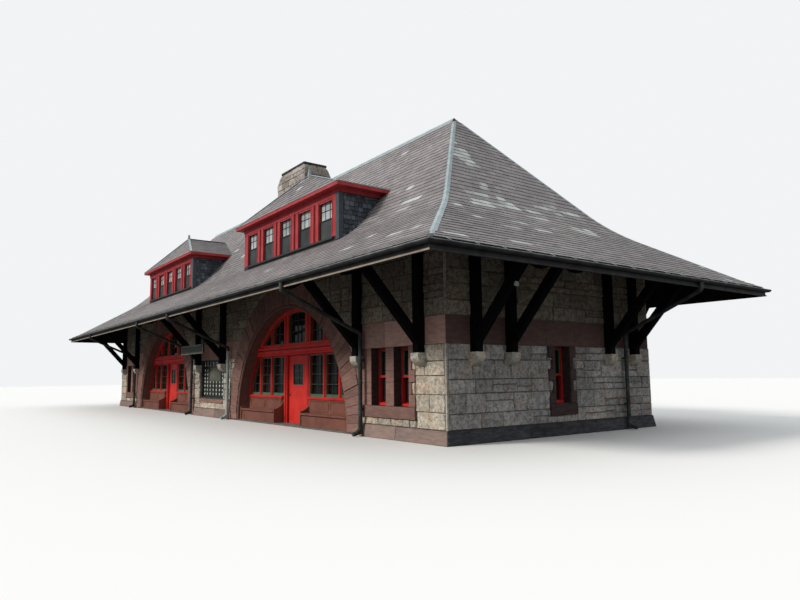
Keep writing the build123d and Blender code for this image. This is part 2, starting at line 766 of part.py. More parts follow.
def chimney_notch():
    """The stack's plan, carried up and down through the roof."""
    half_x = CHIMNEY_NECK_X + CHIMNEY_SPREAD_X
    half_y = CHIMNEY_NECK_Y + CHIMNEY_SPREAD_Y
    return block(CHIMNEY_CENTRE - half_x, CHIMNEY_CENTRE + half_x, -half_y, half_y, 0, CHIMNEY_TOP)


def chimney_cap():
    """Thin weather slab over the stack."""
    half_x = CHIMNEY_NECK_X + CHIMNEY_CAP_OVER
    half_y = CHIMNEY_NECK_Y + CHIMNEY_CAP_OVER
    return block(CHIMNEY_CENTRE - half_x, CHIMNEY_CENTRE + half_x, -half_y, half_y,
                 CHIMNEY_TOP, CHIMNEY_TOP + CHIMNEY_CAP)


def roof_body():
    """Everything under the roof's upper surface on the front side, as a cutting tool."""
    return front_profile(under_roof(0, 0))


def dormer_front_y():
    return -HALF_WIDTH + DORMER_SETBACK


def dormer_box(side_grow, front_grow, z0, z1):
    """A box on the right front dormer's plan, grown at its sides and front."""
    half = DORMER_WIDTH / 2 + side_grow
    return block(DORMER_CENTRE - half, DORMER_CENTRE + half, dormer_front_y() - front_grow, 0, z0, z1)


def dormer_hole():
    """The opening in the main slope inside a dormer."""
    half = DORMER_WIDTH / 2 - DORMER_WALL
    back = -EAVE_Y + run_at(DORMER_TOP)
    return block(DORMER_CENTRE - half, DORMER_CENTRE + half, dormer_front_y() + DORMER_WALL, back, 0, RIDGE_Z)


def dormer_window_edges():
    """X ranges of the dormer's five windows."""
    pitch = DORMER_WINDOW_WIDTH + DORMER_MULLION
    edges = []
    for i in range(DORMER_WINDOWS):
        middle = DORMER_CENTRE + (i - (DORMER_WINDOWS - 1) / 2) * pitch
        edges.append((middle - DORMER_WINDOW_WIDTH / 2, middle + DORMER_WINDOW_WIDTH / 2))
    return edges


def dormer_front():
    """Window wall of a dormer, its foot cut to the roof."""
    half = DORMER_WIDTH / 2
    front = dormer_front_y()
    wall = block(DORMER_CENTRE - half, DORMER_CENTRE + half, front, front + DORMER_WALL, EAVE_Z, DORMER_TOP)
    wall -= roof_body()
    edges = dormer_window_edges()
    for x0, x1 in edges:
        wall -= block(x0, x1, front, front + DORMER_WALL, DORMER_WINDOW_BOTTOM, DORMER_WINDOW_TOP)
    sill = block(edges[0][0] - SASH, edges[-1][1] + SASH, front - DORMER_SILL_PROUD, front,
                 DORMER_WINDOW_BOTTOM - DORMER_SILL, DORMER_WINDOW_BOTTOM)
    return wall + sill


def dormer_pane():
    x0 = dormer_window_edges()[0][0] - SASH
    x1 = dormer_window_edges()[-1][1] + SASH
    back = dormer_front_y() + DORMER_WALL
    return block(x0, x1, back, back + GLASS, DORMER_WINDOW_BOTTOM - SASH, DORMER_WINDOW_TOP + SASH)


def dormer_cheeks():
    """Slated side walls, three-cornered where they die into the roof."""
    half = DORMER_WIDTH / 2
    start = dormer_front_y() + DORMER_WALL
    cheeks = []
    for side in (-1, 1):
        low, high = sorted((side * half, side * (half - DORMER_WALL)))
        cheek = block(DORMER_CENTRE + low, DORMER_CENTRE + high, start, 0, EAVE_Z, DORMER_TOP)
        cheeks.append(cheek - roof_body())
    return cheeks


def dormer_cornice():
    """Boxed eaves round the dormer's front and sides, over a narrower bed mould."""
    step = DORMER_EAVE - DORMER_FASCIA
    outer = dormer_box(DORMER_OVERHANG_SIDE, DORMER_OVERHANG_FRONT, step, DORMER_EAVE)
    outer += dormer_box(DORMER_BED_PROUD, DORMER_BED_PROUD, DORMER_TOP, step)
    inner = dormer_box(-DORMER_WALL, -DORMER_WALL, DORMER_TOP, DORMER_EAVE)
    return outer - inner - roof_body()


def dormer_roof_solid(drop):
    """The dormer's hipped form over its eaves, lowered by drop."""
    half = DORMER_WIDTH / 2 + DORMER_OVERHANG_SIDE
    front = dormer_front_y() - DORMER_OVERHANG_FRONT
    base = DORMER_EAVE - drop
    peak = DORMER_PEAK_Z - drop
    gable = outline((-half, base), (half, base), (0, peak))
    sides = along_y(Pos(DORMER_CENTRE, 0) * gable, front, 0)
    hip = outline((front, base), (0, base), (0, peak), (front + DORMER_PEAK_RUN, peak))
    return sides & along_x(hip, DORMER_CENTRE - half, DORMER_CENTRE + half)


def dormer_roof():
    shell = dormer_roof_solid(0) - dormer_roof_solid(DORMER_SHELL)
    return shell - roof_body()


def dormer_finial():
    """Sheet metal finial where a dormer's hips meet its ridge."""
    peak_y = dormer_front_y() - DORMER_OVERHANG_FRONT + DORMER_PEAK_RUN
    foot = DORMER_PEAK_Z - FINIAL_WIDTH
    tip = FINIAL_WIDTH / 4
    body = Cone(FINIAL_WIDTH / 2, tip, FINIAL_HEIGHT, align=(Align.CENTER, Align.CENTER, Align.MIN))
    return Pos(DORMER_CENTRE, peak_y, foot) * body - dormer_roof_solid(0)


def front_slope():
    """The long front slope with its two dormer openings and the chimney's notch."""
    slope = front_profile(under_roof(0, 0) - under_roof(ROOF_DEPTH, 0)) & front_plan()
    return slope - dormer_hole() - flip_x(dormer_hole()) - chimney_notch()


def right_end_slope():
    return end_profile(under_roof(0, 0) - under_roof(ROOF_DEPTH, 0)) & end_plan()


def gutter_face():
    """Fascia board and half-round gutter, drawn by run with the eave edge at zero."""
    board = rect(-FASCIA, 0, EAVE_Z - ROOF_DEPTH, EAVE_Z)
    rim = EAVE_Z - GUTTER_RIM_DROP
    middle = -FASCIA - GUTTER_RADIUS + GUTTER_SKIN
    trough = Pos(middle, rim) * (Circle(GUTTER_RADIUS) - Circle(GUTTER_RADIUS - GUTTER_SKIN))
    trough &= rect(middle - GUTTER_RADIUS, -FASCIA, rim - GUTTER_RADIUS, rim)
    return board + trough


def gutter_reach():
    return FASCIA + 2 * GUTTER_RADIUS


def front_gutter():
    reach = gutter_reach()
    strip = along_x(Pos(-EAVE_Y, 0) * gutter_face(), -EAVE_X - reach, EAVE_X + reach)
    plan = outline((-EAVE_X - reach, -EAVE_Y - reach), (EAVE_X + reach, -EAVE_Y - reach),
                   (EAVE_X, -EAVE_Y), (-EAVE_X, -EAVE_Y))
    return strip & extrude(plan, RIDGE_Z)


def right_end_gutter():
    reach = gutter_reach()
    turned = mirror(Pos(-EAVE_X, 0) * gutter_face(), about=Plane.YZ)
    strip = along_y(turned, -EAVE_Y - reach, EAVE_Y + reach)
    plan = outline((EAVE_X + reach, -EAVE_Y - reach), (EAVE_X + reach, EAVE_Y + reach),
                   (EAVE_X, EAVE_Y), (EAVE_X, -EAVE_Y))
    return strip & extrude(plan, RIDGE_Z)


def hip_flashing():
    """Sheet metal over the right front hip, as wide as one plan strip across it."""
    front = front_profile(under_roof(-FLASHING, 0) - under_roof(0, 0)) & front_plan()
    end = end_profile(under_roof(-FLASHING, 0) - under_roof(0, 0)) & end_plan()
    run = math.hypot(EAVE_X - RIDGE_HALF, EAVE_Y)
    strip = Box(run, HIP_FLASHING_WIDTH, RIDGE_Z + BEND_RADIUS, align=(Align.MIN, Align.CENTER, Align.MIN))
    strip = Pos(RIDGE_HALF, 0, 0) * Rot(0, 0, -45) * strip
    strip -= block(0, RIDGE_HALF + RIDGE_FLASHING_WIDTH / 2, -EAVE_Y, EAVE_Y, 0, RIDGE_Z + BEND_RADIUS)
    return (front + end) & strip


def ridge_flashing():
    """Sheet metal cap along the ridge, split by the chimney."""
    half = RIDGE_FLASHING_WIDTH / 2
    fall = UPPER_SLOPE * half
    face = outline((-half, RIDGE_Z - fall), (0, RIDGE_Z), (half, RIDGE_Z - fall),
                   (half, RIDGE_Z - fall + FLASHING), (0, RIDGE_Z + FLASHING), (-half, RIDGE_Z - fall + FLASHING))
    return solids_of(along_x(face, -RIDGE_HALF, RIDGE_HALF) - chimney_notch())


def pipe_solid(wall_face):
    """One downpipe in its own upright plane: gutter outlet, branch under the eave, drop and straps."""
    gutter = wall_face + EAVE_OVERHANG + FASCIA + GUTTER_RADIUS - GUTTER_SKIN
    outlet_z = EAVE_Z - GUTTER_RIM_DROP - GUTTER_RADIUS
    drop = wall_face + PIPE_STANDOFF
    route = FilletPolyline((0, gutter, outlet_z), (0, gutter, outlet_z - PIPE_OUTLET_DROP),
                           (0, drop, PIPE_ELBOW_Z), (0, drop, PIPE_FOOT), radius=PIPE_BEND / 2)
    section = Plane(origin=route @ 0, z_dir=route % 0) * Circle(PIPE_RADIUS)
    pipe = sweep(section, path=route)
    for height in PIPE_STRAP_HEIGHTS:
        pipe += block(-PIPE_STRAP / 2, PIPE_STRAP / 2, wall_face, drop, height, height + PIPE_STRAP)
    return pipe


def downpipes():
    """The rainwater pipes of both long sides and both ends."""
    ring = front_rings()[0]
    long_pipe = flip_y(pipe_solid(HALF_WIDTH))
    long_side = [Pos(x, 0, 0) * long_pipe - ring for x in LONG_PIPES]
    end_pipe = Pos(0, END_PIPE, 0) * Rot(0, 0, -90) * pipe_solid(HALF_LENGTH)
    return both_sides(both_ends(long_side)) + both_ends([end_pipe])


def main():
    os.makedirs("parts", exist_ok=True)
    save("plinth_long_sides", both_sides(front_plinths()))
    save("plinth_ends", both_ends([right_end_plinth()]))
    save("front_wall_piers", front_wall_piers())
    save("front_arch_walls", front_arch_walls())
    save("back_wall_piers", [flip_y(s) for s in front_wall_piers()])
    save("back_arch_walls", [flip_y(s) for s in front_arch_walls()])
    save("right_end_wall", [right_end_wall()])
    save("left_end_wall", [flip_x(right_end_wall())])
    save("band_long_sides", both_sides(front_bands()))
    save("band_ends", both_ends([right_end_band()]))
    save("front_arch_rings", front_rings())
    save("back_arch_rings", [flip_y(s) for s in front_rings()])
    save("window_surrounds", both_sides(front_surrounds()) + both_ends([right_end_surround()]))
    save("window_frames", both_sides(front_frames()) + both_ends(right_end_frames()))
    save("window_glass", both_sides(front_panes()) + both_ends(right_end_panes()))
    save("upper_screens", both_sides(both_ends([upper_screen()])))
    back_screens = [flip_y(lower_screen(-1)), flip_y(lower_screen(1))]
    save("lower_screens", both_ends(front_right_screens() + back_screens))
    save("screen_glass", both_sides(both_ends(screen_panes())))
    save("front_right_door", [hinged_door()])
    save("front_right_door_glass", [door_pane()])
    save("front_left_door", [flip_x(hinged_door())])
    save("front_left_door_glass", [flip_x(door_pane())])
    save("back_doors", both_ends([flip_y(door_leaf(0))]))
    save("back_door_glass", both_ends([flip_y(door_pane())]))
    save("bench_seats", both_ends(bench_seats()))
    save("bench_backs", both_ends(bench_backs()))
    save("bench_ends", both_ends(bench_ends()))
    save("ground_floor", [ground_floor()])
    save("attic_floor", [attic_floor()])
    save("bracket_posts", brackets(bracket_post, POST_WIDTH))
    save("bracket_struts", brackets(bracket_strut, STRUT_WIDTH))
    save("bracket_arms", brackets(bracket_arm, POST_WIDTH))
    save("corbels", brackets(corbel_section, CORBEL_WIDTH))
    save("front_roof_slope", [front_slope()])
    save("back_roof_slope", [flip_y(front_slope())])
    save("right_roof_slope", [right_end_slope()])
    save("left_roof_slope", [flip_x(right_end_slope())])
    save("hip_flashings", both_sides(both_ends([hip_flashing()])))
    save("ridge_flashing", ridge_flashing() + both_sides(both_ends([dormer_finial()])))
    save("long_gutters", both_sides([front_gutter()]))
    save("end_gutters", both_ends([right_end_gutter()]))
    save("dormer_fronts", both_sides(both_ends([dormer_front()])))
    save("dormer_cheeks", both_sides(both_ends(dormer_cheeks())))
    save("dormer_cornices", both_sides(both_ends([dormer_cornice()])))
    save("dormer_roofs", both_sides(both_ends([dormer_roof()])))
    save("dormer_glass", both_sides(both_ends([dormer_pane()])))
    save("chimney", [chimney_shaft()])
    save("chimney_cap", [chimney_cap()])
    save("downpipes", downpipes())


main()
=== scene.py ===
"""Looks of a stone railway station: ashlar, voussoirs, slates, joinery, benches, gutters and glass."""
import math
import random

import bmesh
import bpy
from mathutils import Matrix, Vector, noise


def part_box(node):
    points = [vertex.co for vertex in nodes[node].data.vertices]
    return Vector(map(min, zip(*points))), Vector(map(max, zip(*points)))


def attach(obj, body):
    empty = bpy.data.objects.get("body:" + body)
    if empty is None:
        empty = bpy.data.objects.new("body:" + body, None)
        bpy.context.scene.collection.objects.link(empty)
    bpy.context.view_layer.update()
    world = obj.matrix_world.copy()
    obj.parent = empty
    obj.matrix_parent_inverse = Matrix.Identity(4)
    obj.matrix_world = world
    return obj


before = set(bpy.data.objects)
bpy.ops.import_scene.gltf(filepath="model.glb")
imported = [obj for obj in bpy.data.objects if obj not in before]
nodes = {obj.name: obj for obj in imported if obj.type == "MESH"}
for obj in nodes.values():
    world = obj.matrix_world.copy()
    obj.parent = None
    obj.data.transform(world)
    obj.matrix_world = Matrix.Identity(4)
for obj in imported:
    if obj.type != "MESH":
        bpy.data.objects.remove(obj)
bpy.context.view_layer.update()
BODY = "building"
rng = random.Random(11)

# Height at which the arches spring, over the platform
ARCH_SPRING = 0.05

# Sizes read from the frame, in metres
WALL_LOW, WALL_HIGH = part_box("front_wall_piers")
HALF_L = WALL_HIGH.x
HALF_W = -WALL_LOW.y
PLINTH_TOP = WALL_LOW.z
WALL_TOP = WALL_HIGH.z
PLINTH_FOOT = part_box("plinth_ends")[1].x - HALF_L
BAND_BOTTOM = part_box("band_ends")[0].z
BAND_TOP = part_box("band_ends")[1].z
RING_LOW, RING_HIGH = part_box("front_arch_rings")
RING_OUTER = RING_HIGH.z - ARCH_SPRING
ARCH_CENTRE = RING_HIGH.x - RING_OUTER
RING_PROUD = -RING_LOW.y - HALF_W
EAVE_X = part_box("right_roof_slope")[1].x
EAVE_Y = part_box("right_roof_slope")[1].y
DORMER_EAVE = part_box("dormer_cornices")[1].z
DORMER_LOW, DORMER_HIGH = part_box("dormer_roofs")
CHIMNEY_LOW, CHIMNEY_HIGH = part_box("chimney")
CHIMNEY_CENTRE = (CHIMNEY_LOW.x + CHIMNEY_HIGH.x) / 2

# The roof's flare, as the part has it
EAVE_Z = 4.06
ROOF_DEPTH = 0.216
LOWER_SLOPE = 0.63
UPPER_SLOPE = 1.20
KNEE_RUN = 3.06
BEND_RADIUS = 4.7

# How far a face starts inside the solid that carries it, so that no gap shows
SUNK = 0.002


# Places: each takes u to the viewer's right, z and the distance out, and gives a point
def front(u, z, out):
    return (u, -HALF_W - out, z)


def right_end(u, z, out):
    return (HALF_L + out, u, z)


def opposite(place):
    """The same place on the other side of the building, by a half turn."""
    def half_turn(u, z, out):
        x, y, z = place(u, z, out)
        return (-x, -y, z)
    return half_turn


back = opposite(front)
left_end = opposite(right_end)
LONG_SIDES = (front, back)
ENDS = (right_end, left_end)
HALVES = [(place, side) for place in LONG_SIDES for side in (1, -1)]


def lying(place, level):
    """A place for level boards: u along the wall, then the depth behind its face, then up."""
    return lambda u, depth, up: place(u, level + up, -depth)


def at(place, centre, back_off=0.0):
    """The same place, drawn about a centre along the wall and set back from its face."""
    return lambda u, z, out: place(centre + u, z, out - back_off)


def span(side, near, far):
    """The two ends of a span on one side of the middle, in order."""
    return sorted((side * near, side * far))


# Outlines of (u, z) points
def rect(u0, u1, z0, z1):
    return [(u0, z0), (u1, z0), (u1, z1), (u0, z1)]


def rounded(u0, u1, z0, z1, radius):
    """A rectangle's outline with round corners."""
    steps = 4
    points = []
    for cu, cz, start in ((u1 - radius, z0 + radius, -90), (u1 - radius, z1 - radius, 0),
                          (u0 + radius, z1 - radius, 90), (u0 + radius, z0 + radius, 180)):
        for k in range(steps + 1):
            angle = math.radians(start + 90 * k / steps)
            points.append((cu + radius * math.cos(angle), cz + radius * math.sin(angle)))
    return points


def clip(outline, nu, nz, limit):
    """The part of an outline where nu * u + nz * z stays under a limit."""
    kept = []
    for i, (u, z) in enumerate(outline):
        pu, pz = outline[i - 1]
        here = nu * u + nz * z - limit
        before = nu * pu + nz * pz - limit
        if here * before < 0:
            share = before / (before - here)
            kept.append((pu + (u - pu) * share, pz + (z - pz) * share))
        if here <= 0:
            kept.append((u, z))
    return kept


def thinned(outline, gap=0.012):
    """The same outline without points that lie closer together than a gap."""
    kept = []
    for point in outline:
        if not kept or math.dist(point, kept[-1]) > gap:
            kept.append(point)
    if kept and math.dist(kept[0], kept[-1]) < gap:
        kept.pop()
    return kept


def inside_arch(outline, radius):
    """The part of an outline inside an arch drawn about u = 0."""
    chords = 36
    reach = radius * math.cos(math.pi / chords / 2)
    for k in range(chords):
        angle = math.pi * (k + 0.5) / chords
        nz = math.sin(angle)
        outline = clip(outline, math.cos(angle), nz, reach + nz * ARCH_SPRING)
    return thinned(outline)


def inset(outline, wide):
    """An outline drawn in by one width, its corners mitred."""
    drawn = []
    for i, point in enumerate(outline):
        here = Vector(point)
        first = (here - Vector(outline[i - 1])).normalized()
        second = (Vector(outline[(i + 1) % len(outline)]) - here).normalized()
        inward = Vector((-first.y - second.y, first.x + second.x))
        drawn.append(tuple(here + inward * (2 * wide / max(inward.length_squared, 0.5))))
    return drawn


# Pieces and the forms added to them
class Piece:
    """Faces with a tone each, gathered and then made into one mesh object."""

    def __init__(self, name):
        self.name = name
        self.points = []
        self.faces = []
        self.tones = []
        self.kinds = []

    def add(self, points, faces, tone=0.5, kind=0):
        base = len(self.points)
        self.points.extend(points)
        for face in faces:
            self.faces.append([base + i for i in face])
            self.tones.append(tone)
            self.kinds.append(kind)

    def build(self, materials, body=BODY, smooth=False, closed=True):
        mesh = bpy.data.meshes.new(self.name)
        mesh.from_pydata(self.points, [], self.faces)
        for material in materials:
            mesh.materials.append(material)
        mesh.polygons.foreach_set("material_index", self.kinds)
        tone = mesh.attributes.new("tone", "FLOAT", "FACE")
        tone.data.foreach_set("value", self.tones)
        mesh.polygons.foreach_set("use_smooth", [smooth] * len(self.faces))
        mesh.validate()
        if closed:
            shell = bmesh.new()
            shell.from_mesh(mesh)
            bmesh.ops.recalc_face_normals(shell, faces=shell.faces)
            shell.to_mesh(mesh)
            shell.free()
        mesh.update()
        obj = bpy.data.objects.new(self.name, mesh)
        bpy.context.scene.collection.objects.link(obj)
        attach(obj, body)


def ring_faces(n, rings, closed=False):
    """Faces between rings of n points each, back to the first ring if closed."""
    faces = []
    for ring in range(rings if closed else rings - 1):
        after = (ring + 1) % rings
        for i in range(n):
            j = (i + 1) % n
            faces.append([ring * n + i, ring * n + j, after * n + j, after * n + i])
    return faces


def capped(n, rings):
    """Faces of a form of rings with a cap at each end."""
    return [list(range(n)), list(range((rings - 1) * n, rings * n))] + ring_faces(n, rings)


def plate(piece, place, outline, low, high, bevel=0.0, tone=0.5, kind=0):
    """A flat piece over an outline, from depth low out to high, its front edge bevelled."""
    n = len(outline)
    points = [place(u, z, out) for out in (low, high - bevel) for u, z in outline]
    if bevel:
        cu = sum(p[0] for p in outline) / n
        cz = sum(p[1] for p in outline) / n
        for u, z in outline:
            share = 1 - 1.3 * bevel / max(math.hypot(u - cu, z - cz), bevel * 2)
            points.append(place(cu + (u - cu) * share, cz + (z - cz) * share, high))
    rings = len(points) // n
    piece.add(points, [list(range((rings - 1) * n, rings * n))] + ring_faces(n, rings), tone, kind)


def hoop(piece, place, outer, inner, low, high):
    """A flat ring between two outlines with the same number of points."""
    points = []
    for outline, out in ((outer, low), (outer, high), (inner, high), (inner, low)):
        points += [place(u, z, out) for u, z in outline]
    piece.add(points, ring_faces(len(outer), 4, closed=True))


def sash(piece, place, outline, wide, low, high):
    """A frame of one width that follows any outline."""
    hoop(piece, place, outline, inset(outline, wide), low, high)


def frame_round(piece, place, u0, u1, z0, z1, wide, low, high):
    """A square frame of one width inside a rectangle."""
    inner = rect(u0 + wide, u1 - wide, z0 + wide, z1 - wide)
    hoop(piece, place, rect(u0, u1, z0, z1), inner, low, high)


def box_between(piece, low, high, tone=0.5):
    """An upright box between two corners."""
    (x0, y0, z0), (x1, y1, z1) = low, high
    piece.add([(x, y, z) for z in (z0, z1) for x, y in rect(x0, x1, y0, y1)], capped(4, 2), tone)


def around(piece, section, half_x, half_y, tone=0.5):
    """A strip of one section, as (out, z) points, run round a rectangle with mitred corners."""
    corners = ((1, -1), (1, 1), (-1, 1), (-1, -1))
    points = [(sx * (half_x + out), sy * (half_y + out), z) for out, z in section for sx, sy in corners]
    piece.add(points, ring_faces(4, len(section), closed=True), tone)


def turned(piece, place, u, z, rings, sides=14, face=0.0):
    """A round form that stands out from a face, as rings of (distance out of the face, radius)."""
    angles = [2 * math.pi * k / sides for k in range(sides)]
    points = [place(u + radius * math.cos(a), z + radius * math.sin(a), face + out)
              for out, radius in rings for a in angles]
    piece.add(points, capped(sides, len(rings)))


def bar(piece, a, b, width, depth, up=(0, 0, 1)):
    """A straight square bar between two points, width across and depth along the up direction."""
    a = Vector(a)
    b = Vector(b)
    axis = (b - a).normalized()
    side = axis.cross(Vector(up)).normalized() * (width / 2)
    rise = side.normalized().cross(axis) * (depth / 2)
    points = []
    for end in (a, b):
        points += [end - side - rise, end + side - rise, end + side + rise, end - side + rise]
    piece.add([tuple(p) for p in points], capped(4, 2))


def tube(piece, path, radius, sides=12):
    """A round bar along a path of points, closed at both ends."""
    path = [Vector(p) for p in path]
    slanted = Vector((0.3, 0.2, 0.9))
    points = []
    for i, p in enumerate(path):
        axis = (path[min(i + 1, len(path) - 1)] - path[max(i - 1, 0)]).normalized()
        side = axis.cross(slanted).normalized()
        rise = side.cross(axis)
        for k in range(sides):
            angle = 2 * math.pi * k / sides
            points.append(tuple(p + (side * math.cos(angle) + rise * math.sin(angle)) * radius))
    piece.add(points, capped(sides, len(path)))


# Materials
class Shader:
    """A principled material whose nodes are added by short calls."""

    def __init__(self, name, roughness=0.8, specular=0.5):
        self.material = bpy.data.materials.new(name)
        self.material.use_nodes = True
        self.tree = self.material.node_tree
        self.surface = self.tree.nodes["Principled BSDF"]
        self.surface.inputs["Roughness"].default_value = roughness
        self.surface.inputs["Specular IOR Level"].default_value = specular
        self.where = self.tree.nodes.new("ShaderNodeTexCoord").outputs["Object"]

    def link(self, a, b):
        self.tree.links.new(a, b)

    def put(self, socket, value):
        """Link a socket, or set it to a number or a colour."""
        if isinstance(value, bpy.types.NodeSocket):
            self.link(value, socket)
        elif isinstance(value, tuple):
            socket.default_value = (*value, 1.0)
        else:
            socket.default_value = value

    def noise(self, scale, detail=4.0, stretch=(1, 1, 1), distortion=0.0):
        """Noise over the object in metres, stretched along chosen axes."""
        mapping = self.tree.nodes.new("ShaderNodeMapping")
        mapping.inputs["Scale"].default_value = stretch
        self.link(self.where, mapping.inputs["Vector"])
        node = self.tree.nodes.new("ShaderNodeTexNoise")
        for name, value in (("Scale", scale), ("Detail", detail), ("Distortion", distortion)):
            node.inputs[name].default_value = value
        self.link(mapping.outputs["Vector"], node.inputs["Vector"])
        return node.outputs["Fac"]

    def axis(self, name):
        """One coordinate of the object, in metres."""
        node = self.tree.nodes.new("ShaderNodeSeparateXYZ")
        self.link(self.where, node.inputs["Vector"])
        return node.outputs[name]

    def sums(self, operation, a, b):
        node = self.tree.nodes.new("ShaderNodeMath")
        node.operation = operation
        for socket, value in zip(node.inputs, (a, b)):
            self.put(socket, value)
        return node.outputs["Value"]

    def tone(self):
        node = self.tree.nodes.new("ShaderNodeAttribute")
        node.attribute_name = "tone"
        return node.outputs["Fac"]

    def ramp(self, value, *stops):
        """A colour ramp of stops, each a position with a colour, or with one number for a grey."""
        node = self.tree.nodes.new("ShaderNodeValToRGB")
        elements = node.color_ramp.elements
        while len(elements) < len(stops):
            elements.new(1.0)
        for element, (position, colour) in zip(elements, stops):
            element.position = position
            element.color = (*colour, 1.0) if isinstance(colour, tuple) else (colour, colour, colour, 1.0)
        self.link(value, node.inputs["Fac"])
        return node.outputs["Color"]

    def mix(self, kind, factor, a, b):
        """Blend b into a; each may be a socket or a plain colour."""
        node = self.tree.nodes.new("ShaderNodeMix")
        node.data_type = "RGBA"
        node.blend_type = kind
        for name, value in (("Factor", factor), ("A", a), ("B", b)):
            self.put(node.inputs[name], value)
        return node.outputs["Result"]

    def times(self, colour, value, *stops, factor=1.0):
        """A colour multiplied by a ramp."""
        return self.mix("MULTIPLY", factor, colour, self.ramp(value, *stops))

    def bump(self, height, distance, strength=1.0):
        node = self.tree.nodes.new("ShaderNodeBump")
        node.inputs["Distance"].default_value = distance
        node.inputs["Strength"].default_value = strength
        self.link(height, node.inputs["Height"])
        if self.surface.inputs["Normal"].is_linked:
            self.link(self.surface.inputs["Normal"].links[0].from_socket, node.inputs["Normal"])
        self.link(node.outputs["Normal"], self.surface.inputs["Normal"])

    def colour(self, value):
        self.put(self.surface.inputs["Base Color"], value)


def granite_material(name, light, dark, pits):
    """Rock-faced granite: slow changes of colour, a mottle of pits and grains, and a tone for each stone."""
    shader = Shader(name, roughness=0.92, specular=0.12)
    body = shader.mix("MIX", shader.ramp(shader.noise(0.8, 4.0), (0.38, 0), (0.62, 1)), dark, light)
    body = shader.times(body, shader.noise(2.6, 4.0), (0.5, 1.0), (0.66, (1.05, 0.93, 0.84)))
    mottle = shader.noise(11.0, 4.0, distortion=0.9)
    body = shader.times(body, mottle, (0.40, 1.0 - pits), (0.56, 1.12))
    grain = shader.noise(55.0, 2.0)
    body = shader.times(body, grain, (0.38, 0.78), (0.62, 1.16))
    shader.colour(shader.times(body, shader.tone(), (0.0, 0.78), (1.0, 1.18)))
    shader.bump(mottle, 0.014)
    shader.bump(grain, 0.004, 0.6)
    return shader.material


def sandstone_material(name, light, dark, rough=0.003):
    """Dressed brown sandstone with soft bedding streaks and a tone for each stone."""
    shader = Shader(name, roughness=0.88, specular=0.2)
    beds = shader.noise(4.0, 6.0, stretch=(1, 1, 4))
    body = shader.mix("MIX", shader.ramp(beds, (0.3, 0), (0.72, 1)), dark, light)
    body = shader.times(body, shader.noise(70, 2.0), (0.3, 0.82), (0.7, 1.1), factor=0.9)
    shader.colour(shader.times(body, shader.tone(), (0.0, 0.8), (1.0, 1.2)))
    shader.bump(shader.noise(16, 7.0), rough * 3)
    shader.bump(shader.noise(90, 3.0), rough)
    return shader.material


def mortar_material(name, low, high):
    shader = Shader(name, roughness=0.95, specular=0.1)
    shader.colour(shader.ramp(shader.noise(14, 5.0), (0.3, low), (0.7, high)))
    shader.bump(shader.noise(60, 3.0), 0.003)
    return shader.material


def slate_material(name, wear, *stops):
    """Riven slates, each with its own tone; the last tones are the pale ones."""
    shader = Shader(name, roughness=0.62, specular=0.4)
    body = shader.ramp(shader.tone(), *stops)
    body = shader.times(body, shader.noise(5.0, 6.0), (0.25, 0.78), (0.75, 1.16), factor=0.8)
    lichen = shader.ramp(shader.noise(34, 5.0), (0.56, 0), (0.7, wear))
    shader.colour(shader.mix("MIX", lichen, body, (0.42, 0.42, 0.39)))
    shader.bump(shader.noise(22, 6.0), 0.004)
    return shader.material


def paint_material(name, colour, roughness=0.42):
    """Brushed oil paint with a little fading and dust."""
    shader = Shader(name, roughness=roughness, specular=0.16)
    faded = tuple(min(1.0, c * 1.16 + 0.003) for c in colour)
    dull = tuple(c * 0.8 for c in colour)
    body = shader.ramp(shader.noise(2.3, 6.0), (0.3, dull), (0.5, colour), (0.75, faded))
    dirt = shader.ramp(shader.noise(26, 6.0, stretch=(1, 1, 0.3)), (0.58, 0), (0.8, 0.12))
    shader.colour(shader.mix("MIX", dirt, body, (0.07, 0.04, 0.035)))
    shader.bump(shader.noise(45, 3.0, stretch=(1, 1, 0.25)), 0.0012)
    return shader.material


def timber_material(name, colour):
    """Near-black painted timber with open grain and dusty faces."""
    shader = Shader(name, roughness=0.85, specular=0.03)
    pale = tuple(c * 1.8 + 0.002 for c in colour)
    body = shader.ramp(shader.noise(1.7, 6.0), (0.35, colour), (0.75, pale))
    dust = shader.ramp(shader.noise(30, 5.0), (0.62, 0), (0.8, 0.35))
    shader.colour(shader.mix("MIX", dust, body, (0.05, 0.05, 0.05)))
    shader.bump(shader.noise(38, 4.0, stretch=(1, 1, 0.12)), 0.003)
    return shader.material


def metal_material(name, colour, patch, roughness=0.5):
    """Weathered sheet metal or old paint over it, with pale patches."""
    shader = Shader(name, roughness=roughness, specular=0.2)
    body = shader.ramp(shader.noise(3.0, 7.0), (0.35, colour), (0.7, patch))
    shader.colour(shader.times(body, shader.noise(40, 3.0), (0.3, 0.8), (0.7, 1.12), factor=0.6))
    shader.bump(shader.noise(9, 4.0), 0.003)
    return shader.material


def glass_material(name, colour):
    """Old window glass, slightly wavy, over a dark inside."""
    shader = Shader(name, roughness=0.03, specular=0.22)
    shader.surface.inputs["Transmission Weight"].default_value = 0.3
    shader.surface.inputs["IOR"].default_value = 1.45
    shader.colour(shader.ramp(shader.noise(0.9, 3.0), (0.3, colour), (0.8, tuple(c * 1.25 for c in colour))))
    shader.bump(shader.noise(1.1, 1.0), 0.004, 0.5)
    return shader.material


def plain_material(name, low, high, scale=12.0, roughness=0.8, relief=0.002):
    shader = Shader(name, roughness=roughness, specular=0.3)
    shader.colour(shader.ramp(shader.noise(scale, 6.0), (0.3, low), (0.7, high)))
    shader.bump(shader.noise(scale * 3, 4.0), relief)
    return shader.material


